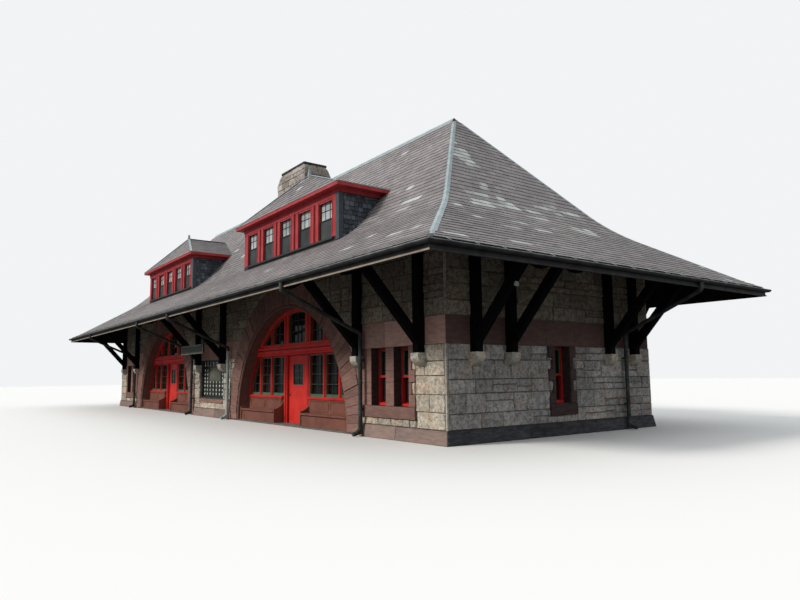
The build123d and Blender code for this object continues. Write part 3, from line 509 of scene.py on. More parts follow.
def pipe_material():
    """Old black paint, worn to pale metal on the drop beside the right arch."""
    shader = Shader("pipe_paint", roughness=0.55, specular=0.4)
    dark = shader.ramp(shader.noise(3.0, 6.0), (0.4, (0.022, 0.026, 0.027)), (0.72, (0.085, 0.10, 0.098)))
    worn = shader.ramp(shader.noise(2.0, 5.0), (0.35, (0.30, 0.40, 0.38)), (0.65, (0.52, 0.60, 0.58)))
    near_pipe = 0.3
    reach = shader.sums("ABSOLUTE", shader.sums("SUBTRACT", shader.axis("X"), INNER_PIPE), 0.0)
    mask = shader.sums("LESS_THAN", reach, near_pipe)
    for name, limit in (("Y", 0.0), ("Z", PIPE_BEND)):
        mask = shader.sums("MULTIPLY", mask, shader.sums("LESS_THAN", shader.axis(name), limit))
    shader.colour(shader.mix("MIX", mask, dark, worn))
    shader.bump(shader.noise(14, 5.0), 0.002)
    return shader.material


def dormer_paint():
    """Red joinery, near black at and below the sill: lead flashing there, and painted shadow under the sill.
    """
    shader = Shader("dormer_red", roughness=0.55, specular=0.2)
    red = shader.ramp(shader.noise(2.6, 6.0), (0.3, (0.36, 0.034, 0.040)), (0.72, (0.50, 0.062, 0.070)))
    # Near black below the window's foot: lead flashing with painted shadow under the sill
    sill = shader.sums("LESS_THAN", shader.axis("Z"), DORMER_WINDOW[0] + SUNK)
    shader.colour(shader.mix("MIX", sill, red, (0.035, 0.037, 0.038)))
    shader.bump(shader.noise(45, 3.0, stretch=(1, 1, 0.25)), 0.0012)
    return shader.material


# Places that materials share with the pieces
INNER_PIPE = 2.08
PIPE_BEND = 2.62
DORMER_WINDOW = (5.8, 7.02)

GRANITE = granite_material("granite", (0.64, 0.56, 0.46), (0.52, 0.47, 0.39), 0.3)
# Granite of the end walls, greyer and darker than the long sides: painted shade of the ends
SHADED_END_GRANITE = granite_material("end_granite_painted_shade", (0.50, 0.485, 0.47), (0.37, 0.355, 0.345), 0.36)
# Granite above the band, darker than below: painted shade under the eaves
SHADED_UPPER_GRANITE = granite_material("upper_granite_painted_shade", (0.36, 0.32, 0.26), (0.28, 0.25, 0.21), 0.4)
MARGIN = granite_material("drafted_margin", (0.50, 0.46, 0.40), (0.42, 0.39, 0.34), 0.2)
CORBEL_STONE = granite_material("corbel_stone", (0.92, 0.87, 0.76), (0.76, 0.72, 0.62), 0.25)
CHIMNEY_STONE = granite_material("chimney_stone", (0.50, 0.46, 0.42), (0.33, 0.30, 0.28), 0.3)
# Chimney stone for the faces towards the ends, darker than the track-side faces: painted shade
SHADED_CHIMNEY_STONE = granite_material("chimney_stone_painted_shade", (0.34, 0.31, 0.28), (0.20, 0.18, 0.165), 0.35)
MORTAR = mortar_material("mortar", (0.11, 0.10, 0.085), (0.23, 0.205, 0.175))
DARK_MORTAR = mortar_material("dark_mortar", (0.045, 0.036, 0.032), (0.10, 0.08, 0.07))
BROWNSTONE = sandstone_material("brownstone", (0.33, 0.185, 0.152), (0.22, 0.125, 0.105))
# Band of the long sides, much paler than the other brownstone: painted light that offsets the eaves' shade
BRIGHTENED_BAND_STONE = sandstone_material("band_stone", (0.62, 0.385, 0.325), (0.44, 0.265, 0.225))
# End walls' band, darker than the long sides' band: painted shade of the ends
SHADED_END_BROWNSTONE = sandstone_material("end_brownstone_painted_shade", (0.17, 0.105, 0.092), (0.115, 0.072, 0.064))
# Window reveals and the end walls' window stones, very dark: painted shade
SHADED_BROWNSTONE = sandstone_material("window_brownstone_painted_shade", (0.115, 0.075, 0.072), (0.066, 0.045, 0.045))
PLINTH_STONE = sandstone_material("plinth_stone", (0.37, 0.25, 0.205), (0.23, 0.18, 0.165), 0.006)
# End walls' base course, darker and greyer than the long sides': painted shade of the ends
SHADED_END_PLINTH = sandstone_material("dark_plinth_stone", (0.105, 0.105, 0.115), (0.04, 0.041, 0.047), 0.008)
SLATE = slate_material("slate", 0.12, (0.0, (0.135, 0.121, 0.124)), (0.35, (0.197, 0.179, 0.181)),
                       (0.62, (0.248, 0.227, 0.228)), (0.84, (0.30, 0.277, 0.275)), (0.9, (0.35, 0.36, 0.35)),
                       (1.0, (0.52, 0.55, 0.55)))
CHEEK_SLATE = slate_material("cheek_slate", 0.08, (0.0, (0.022, 0.028, 0.036)), (0.6, (0.055, 0.070, 0.088)),
                             (1.0, (0.12, 0.14, 0.165)))
RED = paint_material("red_paint", (0.56, 0.032, 0.026))
# Red of the upper screens and transom mouldings, brighter than the red below: painted light in the arches'
# shade
BRIGHTENED_UPPER_RED = paint_material("upper_red_painted_light", (0.92, 0.055, 0.045), roughness=0.55)
DOOR_RED = paint_material("door_red", (0.72, 0.040, 0.030), roughness=0.4)
DEEP_RED = paint_material("deep_red", (0.16, 0.008, 0.011))
DORMER_RED = dormer_paint()
GREEN = paint_material("sash_green", (0.075, 0.16, 0.105))
BAR_GREEN = paint_material("bar_green", (0.065, 0.10, 0.08))
DARK_SASH = paint_material("dark_sash", (0.030, 0.040, 0.036))
BENCH = paint_material("bench_brown", (0.22, 0.088, 0.064), roughness=0.5)
SIGN = paint_material("sign_green", (0.016, 0.026, 0.020))
SIGN_EDGE = paint_material("sign_edge", (0.24, 0.23, 0.17))
TIMBER = timber_material("dark_timber", (0.0045, 0.005, 0.006))
SOFFIT = timber_material("soffit_boards", (0.008, 0.006, 0.005))
COPPER = metal_material("copper", (0.25, 0.32, 0.34), (0.38, 0.45, 0.47))
DARK_COPPER = metal_material("dark_copper", (0.035, 0.055, 0.06), (0.09, 0.12, 0.12))
GUTTER = metal_material("gutter_metal", (0.026, 0.026, 0.028), (0.060, 0.060, 0.062))
# Pale metal for the gutter's bead and straps: painted highlight along the rolled edge
RIM = metal_material("gutter_rim_painted_highlight", (0.16, 0.19, 0.19), (0.36, 0.40, 0.40))
TRIM = metal_material("eave_trim", (0.30, 0.24, 0.185), (0.42, 0.36, 0.29), roughness=0.7)
LEAD = metal_material("lead", (0.035, 0.04, 0.036), (0.085, 0.095, 0.085))
IRON = metal_material("black_iron", (0.012, 0.012, 0.013), (0.04, 0.038, 0.036))
PIPE = pipe_material()
GLASS = glass_material("glass", (0.018, 0.023, 0.022))
# Opaque pale panes for the dormers' upper sashes: painted reflection of the sky, with pale curtains behind
GLASS_PAINTED_SKY_REFLECTION = plain_material("glass_painted_sky_reflection", (0.16, 0.20, 0.20), (0.62, 0.68, 0.70), 1.3, 0.12, 0.0005)
CLEAR_PANE = plain_material("clear_pane", (0.075, 0.075, 0.045), (0.17, 0.165, 0.11), 2.2, 0.15, 0.0005)
ROUNDEL = plain_material("roundel_glass", (0.42, 0.44, 0.38), (0.75, 0.76, 0.68), 5.0, 0.2)
SCREEN_MESH = plain_material("insect_screen", (0.022, 0.027, 0.028), (0.075, 0.088, 0.09), 1.6, 0.6, 0.001)
FLOOR_BOARDS = plain_material("floor_boards", (0.16, 0.10, 0.06), (0.27, 0.18, 0.11), 6.0)
FLOOR_STONE = plain_material("floor_stone", (0.12, 0.115, 0.105), (0.20, 0.19, 0.175), 4.0)
CAP_STONE = plain_material("cap_stone", (0.022, 0.022, 0.024), (0.06, 0.06, 0.06), 6.0)
LAMP = plain_material("lamp_enamel", (0.62, 0.64, 0.64), (0.80, 0.82, 0.82), 8.0, 0.3)

# Some of these carry painted light or shade: the long sides' band and the upper screens are brightened, the
# end walls, window surrounds and chimney darkened
NODE_MATERIALS = (
    (MORTAR, "front_wall_piers front_arch_walls back_wall_piers back_arch_walls"),
    (MORTAR, "right_end_wall left_end_wall"),
    (PLINTH_STONE, "plinth_long_sides"), (SHADED_END_PLINTH, "plinth_ends"), (BRIGHTENED_BAND_STONE, "band_long_sides"),
    (SHADED_END_BROWNSTONE, "band_ends"), (BROWNSTONE, "front_arch_rings back_arch_rings"),
    (SHADED_BROWNSTONE, "window_surrounds"), (RED, "window_frames lower_screens"), (BRIGHTENED_UPPER_RED, "upper_screens"),
    (GLASS, "window_glass screen_glass dormer_glass"),
    (GLASS, "front_right_door_glass front_left_door_glass back_door_glass"),
    (DOOR_RED, "front_right_door front_left_door back_doors"), (BENCH, "bench_seats bench_backs bench_ends"),
    (FLOOR_STONE, "ground_floor"), (FLOOR_BOARDS, "attic_floor"),
    (TIMBER, "bracket_posts bracket_struts bracket_arms"), (CORBEL_STONE, "corbels"),
    (SOFFIT, "front_roof_slope back_roof_slope right_roof_slope left_roof_slope"),
    (COPPER, "hip_flashings ridge_flashing"), (GUTTER, "long_gutters end_gutters"), (PIPE, "downpipes"),
    (DORMER_RED, "dormer_fronts dormer_cornices"), (CHEEK_SLATE, "dormer_cheeks"), (SLATE, "dormer_roofs"),
    (SHADED_CHIMNEY_STONE, "chimney"), (CAP_STONE, "chimney_cap"))


def dress_nodes():
    """The part's own solids, each in its material."""
    for material, names in NODE_MATERIALS:
        for name in names.split():
            mesh = nodes[name].data
            mesh.materials.clear()
            mesh.materials.append(material)


# Windows, in metres along their walls
PAIR = ((HALF_L - 3.06, HALF_L - 2.40), (HALF_L - 2.04, HALF_L - 1.38))
PAIR_SILL = 0.83
PAIR_SILL_DEEP = 0.3
CENTRE_SILL = 0.73
CENTRE_SILL_DEEP = 0.14
CENTRE_SILL_PAST = 0.02
CENTRE_SILL_LIP = 0.05
CENTRE_SILL_FACE = 0.057
CENTRE_HALF = 1.35
END_HALF = 0.3

# Rock-faced stones
STONE_PROUD = 0.034
STONE_ROUGH = 0.026
JOINT = 0.009
CELL = 0.085
EDGE = 0.017
MARGIN_WIDE = 0.034
COURSE = 0.37
STONE_WIDTHS = (0.42, 1.1)
SHORT_STONE = 0.3
LONG_STONE = 0.6
SMALLEST_STONE = 0.06
WALL_CLEAR = 0.03

# How often a stone fills its course, where the others are split, and how often a long layer is cut again
FULL_SHARE = 0.6
SPLITS = (0.42, 0.48, 0.5, 0.53, 0.6)
CUT_SHARE = 0.4


def subtract(stones, void):
    """Split stones, as (u0, u1, z0, z1), round a rectangular void."""
    a0, a1, b0, b1 = void
    left = []
    for u0, u1, z0, z1 in stones:
        if u1 <= a0 or u0 >= a1 or z1 <= b0 or z0 >= b1:
            left.append((u0, u1, z0, z1))
            continue
        if u0 < a0:
            left.append((u0, a0, z0, z1))
        if u1 > a1:
            left.append((a1, u1, z0, z1))
        inner0 = max(u0, a0)
        inner1 = min(u1, a1)
        if z0 < b0:
            left.append((inner0, inner1, z0, b0))
        if z1 > b1:
            left.append((inner0, inner1, b1, z1))
    return left


def uneven(low, high, count, shift):
    """Cuts that split a length into a count of parts, each moved a little at random."""
    return [low + (high - low) * (i + (rng.uniform(-shift, shift) if 0 < i < count else 0)) / count
            for i in range(count + 1)]


def random_ashlar(u0, u1, z0, z1):
    """Coursed stones filling a rectangle: most of full height, the rest in two layers, some cut again."""
    stones = []
    cuts = uneven(z0, z1, max(1, round((z1 - z0) / COURSE)), 0.16)
    for low, high in zip(cuts, cuts[1:]):
        u = u0
        while u < u1 - 0.02:
            width = rng.uniform(*STONE_WIDTHS)
            end = u1 if u + width > u1 - SHORT_STONE else u + width
            if rng.random() < FULL_SHARE:
                stones.append((u, end, low, high))
                u = end
                continue
            middle = low + (high - low) * rng.choice(SPLITS)
            for a, b in ((low, middle), (middle, high)):
                if end - u > LONG_STONE and rng.random() < CUT_SHARE:
                    cut = u + (end - u) * rng.uniform(0.35, 0.65)
                    stones += [(u, cut, a, b), (cut, end, a, b)]
                else:
                    stones.append((u, end, a, b))
            u = end
    return stones


def grid_lines(low, high):
    """Grid lines across a stone, with one close to each edge."""
    middle = high - low - 2 * EDGE
    count = max(1, round(middle / CELL))
    return [low] + [low + EDGE + middle * i / count for i in range(count + 1)] + [high]


def rock_stone(piece, place, stone, arches, proud=STONE_PROUD, rough=STONE_ROUGH, kind=0):
    """One rock-faced stone: a grid pushed out unevenly, its edges sloped back to the joint."""
    u0, u1, z0, z1 = (stone[0] + JOINT / 2, stone[1] - JOINT / 2, stone[2] + JOINT / 2, stone[3] - JOINT / 2)
    if min(u1 - u0, z1 - z0) < SMALLEST_STONE:
        return
    across = grid_lines(u0, u1)
    tone = rng.random()
    seed = Vector((rng.uniform(0, 90), rng.uniform(0, 90), rng.uniform(0, 90)))
    own = proud + rng.uniform(-0.012, 0.014)
    limit = RING_OUTER + JOINT / 2
    upward = grid_lines(z0, z1)
    points = []
    edges = []
    for level in upward:
        for along in across:
            u, z = along, level
            edge = min(u - u0, u1 - u, z - z0, z1 - z)
            for centre in arches:
                du = u - centre
                dz = z - ARCH_SPRING
                reach = math.hypot(du, dz)
                edge = min(edge, reach - limit)
                if reach < limit:
                    u = centre + du * limit / max(reach, 0.001)
                    z = ARCH_SPRING + dz * limit / max(reach, 0.001)
            share = min(max(edge / EDGE, 0.0), 1.0)
            out = own + rough * noise.noise(Vector((u * 7, z * 7, 0)) + seed)
            points.append(place(u, z, out * share - SUNK))
            edges.append(edge)
    wide = len(across)
    for j in range(len(upward) - 1):
        for i in range(wide - 1):
            a = j * wide + i
            corners = (a, a + 1, a + 1 + wide, a + wide)
            if max(edges[c] for c in corners) < 0.001:
                continue
            # Faces on the sloped edge take a darker tone: painted shade along the joints
            rim = min(edges[c] for c in corners) < EDGE * 0.9
            piece.add([points[c] for c in corners], [[0, 1, 2, 3]], tone * 0.75 if rim else tone, kind)


QUOIN_COURSES = 5
QUOIN_REACH = (0.25, 0.12)


def quoin_course(i):
    """Reach, foot and head of one course of dressed stones beside a window."""
    course = (BAND_BOTTOM - PAIR_SILL) / QUOIN_COURSES
    low = PAIR_SILL + i * course
    return QUOIN_REACH[i % 2], low, low + course


def quoin_rects(u0, u1, side_left):
    """The dressed stones' rectangles right of one window, and left of it if asked, as the part has them."""
    stones = []
    for i in range(QUOIN_COURSES):
        reach, low, high = quoin_course(i)
        if side_left:
            stones.append((u0 - reach, u0, low, high))
        stones.append((u1, u1 + reach, low, high))
    left = u0 - QUOIN_REACH[0] * side_left
    stones.append((left, u1 + QUOIN_REACH[0], PAIR_SILL - PAIR_SILL_DEEP, PAIR_SILL))
    return stones


def long_voids():
    """Windows and dressed stones of a long side, which the granite leaves free."""
    voids = []
    for sign in (1, -1):
        low, high = span(sign, ARCH_CENTRE + RING_OUTER - 0.45, PAIR[1][1])
        voids.append((low, high, PAIR_SILL - PAIR_SILL_DEEP, BAND_BOTTOM))
        for u0, u1, z0, z1 in quoin_rects(PAIR[0][0], PAIR[1][1], 0):
            voids.append((*span(sign, u0, u1), z0, z1))
    side = CENTRE_HALF + 0.005
    voids.append((-side, side, CENTRE_SILL, BAND_BOTTOM))
    side = CENTRE_HALF + CENTRE_SILL_PAST
    voids.append((-side, side, CENTRE_SILL - CENTRE_SILL_DEEP, CENTRE_SILL))
    return voids


def end_voids():
    return quoin_rects(-END_HALF, END_HALF, 1) + [(-END_HALF, END_HALF, PAIR_SILL, BAND_BOTTOM)]


def granite_walls():
    """Rock-faced stones on all four walls, below and above the band."""
    arches = (ARCH_CENTRE, -ARCH_CENTRE)
    for place, name, half, voids, rings, stone_material in (
            (front, "front_ashlar", HALF_L, long_voids(), arches, GRANITE),
            (back, "back_ashlar", HALF_L, long_voids(), arches, GRANITE),
            (right_end, "right_end_ashlar", HALF_W, end_voids(), (), SHADED_END_GRANITE),
            (left_end, "left_end_ashlar", HALF_W, end_voids(), (), SHADED_END_GRANITE)):
        piece = Piece(name)
        reach = half - MARGIN_WIDE
        stones = random_ashlar(-reach, reach, PLINTH_TOP, BAND_BOTTOM)
        for void in voids:
            stones = subtract(stones, void)
        stones += random_ashlar(-reach, reach, BAND_TOP, WALL_TOP - WALL_CLEAR)
        for stone in stones:
            # Stones above the band take the darker granite: painted shade under the eaves
            rock_stone(piece, place, stone, rings, kind=int(stone[2] >= BAND_TOP))
        piece.build([stone_material, SHADED_UPPER_GRANITE], closed=False)


def corner_margins():
    """Drafted margins of the granite at the four corners, one length to each course."""
    piece = Piece("corner_margins")
    proud = 0.018
    course = 0.42
    gap = 0.004
    for sx, sy in ((1, 1), (1, -1), (-1, 1), (-1, -1)):
        for bottom, top in ((PLINTH_TOP, BAND_BOTTOM), (BAND_TOP, WALL_TOP - WALL_CLEAR)):
            lifts = round((top - bottom) / course)
            for i in range(lifts):
                z0 = bottom + (top - bottom) * i / lifts + gap
                z1 = bottom + (top - bottom) * (i + 1) / lifts - gap
                xs = span(sx, HALF_L - MARGIN_WIDE, HALF_L + proud)
                ys = span(sy, HALF_W - MARGIN_WIDE, HALF_W + proud)
                box_between(piece, (xs[0], ys[0], z0), (xs[1], ys[1], z1), rng.random())
    piece.build([MARGIN])


# Dressed stones
BACKING = 0.0025
FACE = 0.013
QUOIN_FACE = 0.046
SILL_FACE = 0.064
STONE_GAP = 0.006
RING_GAP = 0.006


def smooth_stone(piece, joints, place, outline, face=FACE):
    """A dressed stone's thin face over dark backing that shows in its joints."""
    plate(joints, place, outline, -SUNK, BACKING)
    plate(piece, place, inset(outline, STONE_GAP / 2), -SUNK, face, 0.006, rng.random())


def dressed_stones():
    """Thin faces of the dressed stones: band, window stones and sills."""
    piece = Piece("dressed_stones")
    band = Piece("long_band_stones")
    ends = Piece("end_band_stones")
    dark = Piece("end_window_stones")
    joints = Piece("stone_joints")
    for place in LONG_SIDES:
        cuts = [-HALF_L]
        while cuts[-1] < HALF_L - 1.5:
            cuts.append(cuts[-1] + rng.uniform(0.85, 1.25))
        cuts[-1] = HALF_L
        for a, b in zip(cuts, cuts[1:]):
            outline = band_outline(a, b)
            if outline:
                smooth_stone(band, joints, place, outline)
        for sign in (1, -1):
            window_stones(piece, joints, place, sign)
    count = 7
    width = 2 * HALF_W / count
    for place in ENDS:
        for i in range(count):
            outline = rect(-HALF_W + i * width, -HALF_W + (i + 1) * width, BAND_BOTTOM, BAND_TOP)
            smooth_stone(ends, joints, place, outline)
        for stone in quoin_rects(-END_HALF, END_HALF, 1):
            proud = SILL_FACE if stone[3] <= PAIR_SILL else QUOIN_FACE
            smooth_stone(dark, joints, place, rect(*stone), proud)
    for place in LONG_SIDES:
        centre_sill(piece, place)
    piece.build([BROWNSTONE])
    # The long band is built brightened (painted light); the end band and end window stones darker (painted
    # shade)
    band.build([BRIGHTENED_BAND_STONE])
    ends.build([SHADED_END_BROWNSTONE])
    dark.build([SHADED_BROWNSTONE])
    joints.build([DARK_MORTAR])


def band_outline(a, b):
    """One smooth stone of the band, cut to the arch rings where it meets them, or nothing inside a ring."""
    edge = RING_OUTER + RING_GAP
    low_reach = math.sqrt(edge**2 - (BAND_BOTTOM - ARCH_SPRING) ** 2)
    high_reach = math.sqrt(edge**2 - (BAND_TOP - ARCH_SPRING) ** 2)
    sliver = 0.05
    outline = rect(a, b, BAND_BOTTOM, BAND_TOP)
    for centre in (ARCH_CENTRE, -ARCH_CENTRE):
        if centre - high_reach < a and b < centre + high_reach or a < centre < b:
            return None
        if b > centre - low_reach and a < centre - high_reach:
            outline = [(a, BAND_BOTTOM), (centre - low_reach, BAND_BOTTOM), (centre - high_reach, BAND_TOP),
                       (a, BAND_TOP)]
            if a > centre - low_reach - sliver:
                return None
        elif a < centre + low_reach and b > centre + high_reach:
            outline = [(centre + low_reach, BAND_BOTTOM), (b, BAND_BOTTOM), (b, BAND_TOP),
                       (centre + high_reach, BAND_TOP)]
            if b < centre + low_reach + sliver:
                return None
    return outline


def ring_at(z):
    """Where the right arch's ring ends at a height."""
    return ARCH_CENTRE + math.sqrt((RING_OUTER + 0.008) ** 2 - (z - ARCH_SPRING) ** 2)


def window_stones(piece, joints, place, sign):
    """Stones round the paired windows near one corner, and their long sill."""
    (left, middle0), (middle1, right) = PAIR
    shapes = []
    for i in range(QUOIN_COURSES):
        reach, low, high = quoin_course(i)
        shapes.append(([(ring_at(low), low), (left, low), (left, high), (ring_at(high), high)], FACE))
        shapes.append((rect(middle0, middle1, low, high), FACE))
        shapes.append((rect(right, right + reach, low, high), QUOIN_FACE))
    low = PAIR_SILL - PAIR_SILL_DEEP
    high = PAIR_SILL
    end = right + QUOIN_REACH[0]
    shapes.append(([(ring_at(low), low), (end, low), (end, high), (ring_at(high), high)], SILL_FACE))
    for shape, proud in shapes:
        if sign < 0:
            shape = [(-u, z) for u, z in reversed(shape)]
        smooth_stone(piece, joints, place, shape, proud)


def centre_sill(piece, place):
    """The sill of the wide centre window, its ends cut away below."""
    end = CENTRE_HALF + CENTRE_SILL_PAST
    thin = end - CENTRE_SILL_DEEP
    bottom = CENTRE_SILL - CENTRE_SILL_DEEP
    top = CENTRE_SILL
    lip = top - CENTRE_SILL_LIP
    outline = [(-thin, bottom), (thin, bottom), (end, lip), (end, top), (-end, top), (-end, lip)]
    plate(piece, place, inset(outline, -SUNK), -0.03, CENTRE_SILL_FACE, 0.004, tone=0.9)


# Base course
PLINTH_LIP = 0.04
PLINTH_CLEAR = 0.004
PLINTH_STONE_WIDE = 1.4


def battered(place):
    """The same place, measured from the sloping face of the base course."""
    return lambda u, z, out: place(u, z, PLINTH_FOOT - (PLINTH_FOOT - PLINTH_LIP) * z / PLINTH_TOP + out)


def plinth_run(piece, joints, place, half, a, b):
    """Long stones on one stretch of the battered base course, mitred at the corners."""
    cuts = uneven(a, b, max(1, round((b - a) / PLINTH_STONE_WIDE)), 0.12)
    for u0, u1 in zip(cuts, cuts[1:]):
        (foot0, lip0), (foot1, lip1) = [
            (u + side * PLINTH_FOOT, u + side * PLINTH_LIP) if u * side >= half else (u, u)
            for u, side in ((u0, -1), (u1, 1))]
        top = PLINTH_TOP - PLINTH_CLEAR
        outline = [(foot0, 0.002), (foot1, 0.002), (lip1, top), (lip0, top)]
        plate(joints, battered(place), outline, -SUNK, 0.001)
        plate(piece, battered(place), inset(outline, 0.005), -SUNK, 0.012, 0.012, rng.random())


def plinth_stones():
    """The base course on all four sides, stopped by the arches."""
    long_piece = Piece("plinth_stones")
    end_piece = Piece("dark_plinth_stones")
    joints = Piece("plinth_joints")
    edge = ARCH_CENTRE + RING_OUTER + RING_GAP
    inner = ARCH_CENTRE - RING_OUTER - RING_GAP
    for place in LONG_SIDES:
        for a, b in ((edge, HALF_L), (-HALF_L, -edge), (-inner, inner)):
            plinth_run(long_piece, joints, place, HALF_L, a, b)
    for place in ENDS:
        plinth_run(end_piece, joints, place, HALF_W, -HALF_W, HALF_W)
    long_piece.build([PLINTH_STONE])
    # The ends' base course is built in the darker stone: painted shade
    end_piece.build([SHADED_END_PLINTH])
    joints.build([DARK_MORTAR])


# Arch rings: the wedge stones start at the quirk beside the roll moulding
ARCH_RADIUS = 3.85
ROLL_QUIRK = 0.102
VOUSSOIRS = 55


def wedge(centre, a, b):
    """The outline of one voussoir between two angles."""
    inner = ARCH_RADIUS + ROLL_QUIRK
    middle = (a + b) / 2
    outer = RING_OUTER
    corners = ((inner, a), (outer, a), (outer, middle), (outer, b), (inner, b), (inner, middle))
    return [(centre + radius * math.cos(angle), ARCH_SPRING + radius * math.sin(angle))
            for radius, angle in corners]


def voussoirs():
    """Wedge stones of the arch rings, each proud by its own amount."""
    piece = Piece("voussoirs")
    joints = Piece("ring_joints")
    gap = 0.0009
    for place, side in HALVES:
        centre = side * ARCH_CENTRE
        for i in range(VOUSSOIRS):
            a = math.pi * i / VOUSSOIRS
            b = math.pi * (i + 1) / VOUSSOIRS
            low = RING_PROUD - SUNK
            plate(joints, place, wedge(centre, a, b), low, RING_PROUD + BACKING)
            proud = RING_PROUD + rng.uniform(0.008, 0.040)
            plate(piece, place, wedge(centre, a + gap, b - gap), low, proud, 0.012, rng.random())
    piece.build([BROWNSTONE])
    joints.build([DARK_MORTAR])


# Chimney stack, half widths along x and y
CHIMNEY_NECK = (1.08, 0.53)
CHIMNEY_SPREAD = (0.27, 0.11)
SHOULDER = 0.6
CHIMNEY_FOOT = 9.1


def stack_reach(height, axis):
    """Half width of the stack at a height: straight, then drawn in along an arc."""
    spread = CHIMNEY_SPREAD[axis]
    wide = CHIMNEY_NECK[axis] + spread
    rise = height - CHIMNEY_HIGH.z + SHOULDER
    if rise <= 0:
        return wide
    radius = (spread**2 + SHOULDER**2) / (2 * spread)
    return wide - radius + math.sqrt(max(radius**2 - rise**2, 0.0))


def stack_face(side, axis):
    """A place on one of the stack's two faces along an axis."""
    wide = CHIMNEY_NECK[axis] + CHIMNEY_SPREAD[axis]

    def place(u, z, out):
        along = side * u * stack_reach(z, axis) / wide
        away = side * (stack_reach(z, 1 - axis) + out)
        return (CHIMNEY_CENTRE + along, -away, z) if axis == 0 else (CHIMNEY_CENTRE + away, along, z)
    return place


def chimney_stones():
    """Rubble on the chimney stack, following its round shoulders."""
    piece = Piece("chimney_stones")
    top = CHIMNEY_HIGH.z
    lowest = 0.16
    shortest = 0.2
    for axis in (0, 1):
        wide = CHIMNEY_NECK[axis] + CHIMNEY_SPREAD[axis]
        for side in (1, -1):
            z = CHIMNEY_FOOT
            while z < top - 0.02:
                high = min(z + rng.uniform(0.2, 0.42), top)
                if top - high < lowest:
                    high = top
                u = -wide
                while u < wide - 0.01:
                    end = u + rng.uniform(0.26, 0.8)
                    if end > wide - shortest:
                        end = wide
                    # Faces towards the ends take the darker stone: painted shade
                    rock_stone(piece, stack_face(side, axis), (u, end, z, high), (), 0.020, 0.024, axis)
                    u = end
                z = high
    piece.build([CHIMNEY_STONE, SHADED_CHIMNEY_STONE], closed=False)


# Slates
EXPOSURE = 0.205
SLATE_WIDTH = 0.3
SLATE_THICK = 0.009
SLATE_LIFT = 0.006
SLATE_GAP = 0.003
EAVE_KICK = 0.05
KICK_LENGTH = 0.6


def roof_point(s):
    """Run, height and slope angle at a distance s up the flared roof from its eave."""
    low = math.atan(LOWER_SLOPE)
    high = math.atan(UPPER_SLOPE)
    tangent = BEND_RADIUS * math.tan((high - low) / 2)
    first = KNEE_RUN / math.cos(low) - tangent
    arc = BEND_RADIUS * (high - low)
    if s <= first:
        return s * math.cos(low), EAVE_Z + s * math.sin(low), low
    if s >= first + arc:
        rest = tangent + s - first - arc
        return KNEE_RUN + rest * math.cos(high), EAVE_Z + LOWER_SLOPE * KNEE_RUN + rest * math.sin(high), high
    angle = low + (s - first) / BEND_RADIUS
    run = first * math.cos(low) + BEND_RADIUS * (math.sin(angle) - math.sin(low))
    return run, EAVE_Z + first * math.sin(low) + BEND_RADIUS * (math.cos(low) - math.cos(angle)), angle


ROOF_LENGTH = 0.0
while roof_point(ROOF_LENGTH)[0] < EAVE_Y:
    ROOF_LENGTH += 0.01


def front_slope(u, s, lift):
    """A point over the track-side slope: u along it, s up it, and a lift that grows over the eave fillet."""
    run, z, angle = roof_point(s)
    lift += EAVE_KICK * max(0.0, 1 - s / KICK_LENGTH)
    return (u, -EAVE_Y + run - lift * math.sin(angle), z + lift * math.cos(angle))


def right_slope(u, s, lift):
    x, y, z = front_slope(u, s, lift)
    return (EAVE_X - EAVE_Y - y, x, z)


back_slope = opposite(front_slope)
left_slope = opposite(right_slope)
SLOPES = ((front_slope, EAVE_X), (back_slope, EAVE_X), (right_slope, EAVE_Y), (left_slope, EAVE_Y))


def slate_rows(piece, place, length, limits, tone_at, blocked=None, exposure=EXPOSURE, width=SLATE_WIDTH,
               gap=SLATE_GAP, thickness=SLATE_THICK):
    """Overlapping slates on a surface: limits(s) gives the two ends of a row, blocked(u, s) drops a slate."""
    narrow = 0.02
    for row in range(math.ceil(length / exposure)):
        s0 = row * exposure
        s1 = min(s0 + exposure * 1.12, length)
        low = limits(s0)
        high = limits(s1)
        end = max(low[1], high[1])
        u = min(low[0], high[0]) - rng.uniform(0.0, 0.5) * width - (row % 2) * width / 2
        while u < end:
            wide = width * rng.uniform(0.9, 1.1)
            a = u + gap
            b = u + wide - gap
            u += wide
            middle = (a + b) / 2
            if blocked and blocked(middle, s0 + exposure / 2):
                continue
            a0, b0 = [min(max(v, low[0]), low[1]) for v in (a, b)]
            a1, b1 = [min(max(v, high[0]), high[1]) for v in (a, b)]
            if b0 - a0 < narrow and b1 - a1 < narrow:
                continue
            foot = s0 + rng.uniform(-0.004, 0.004)
            thick = thickness + SLATE_LIFT + rng.uniform(0.0, 0.004)
            points = [place(a0, foot, thick), place(b0, foot, thick), place(b1, s1, SLATE_LIFT * 0.3),
                      place(a1, s1, SLATE_LIFT * 0.3), place(a0, foot, 0.001), place(b0, foot, 0.001)]
            piece.add(points, [[0, 1, 2, 3], [4, 5, 1, 0], [5, 2, 1], [4, 0, 3]], tone_at(middle, s0))


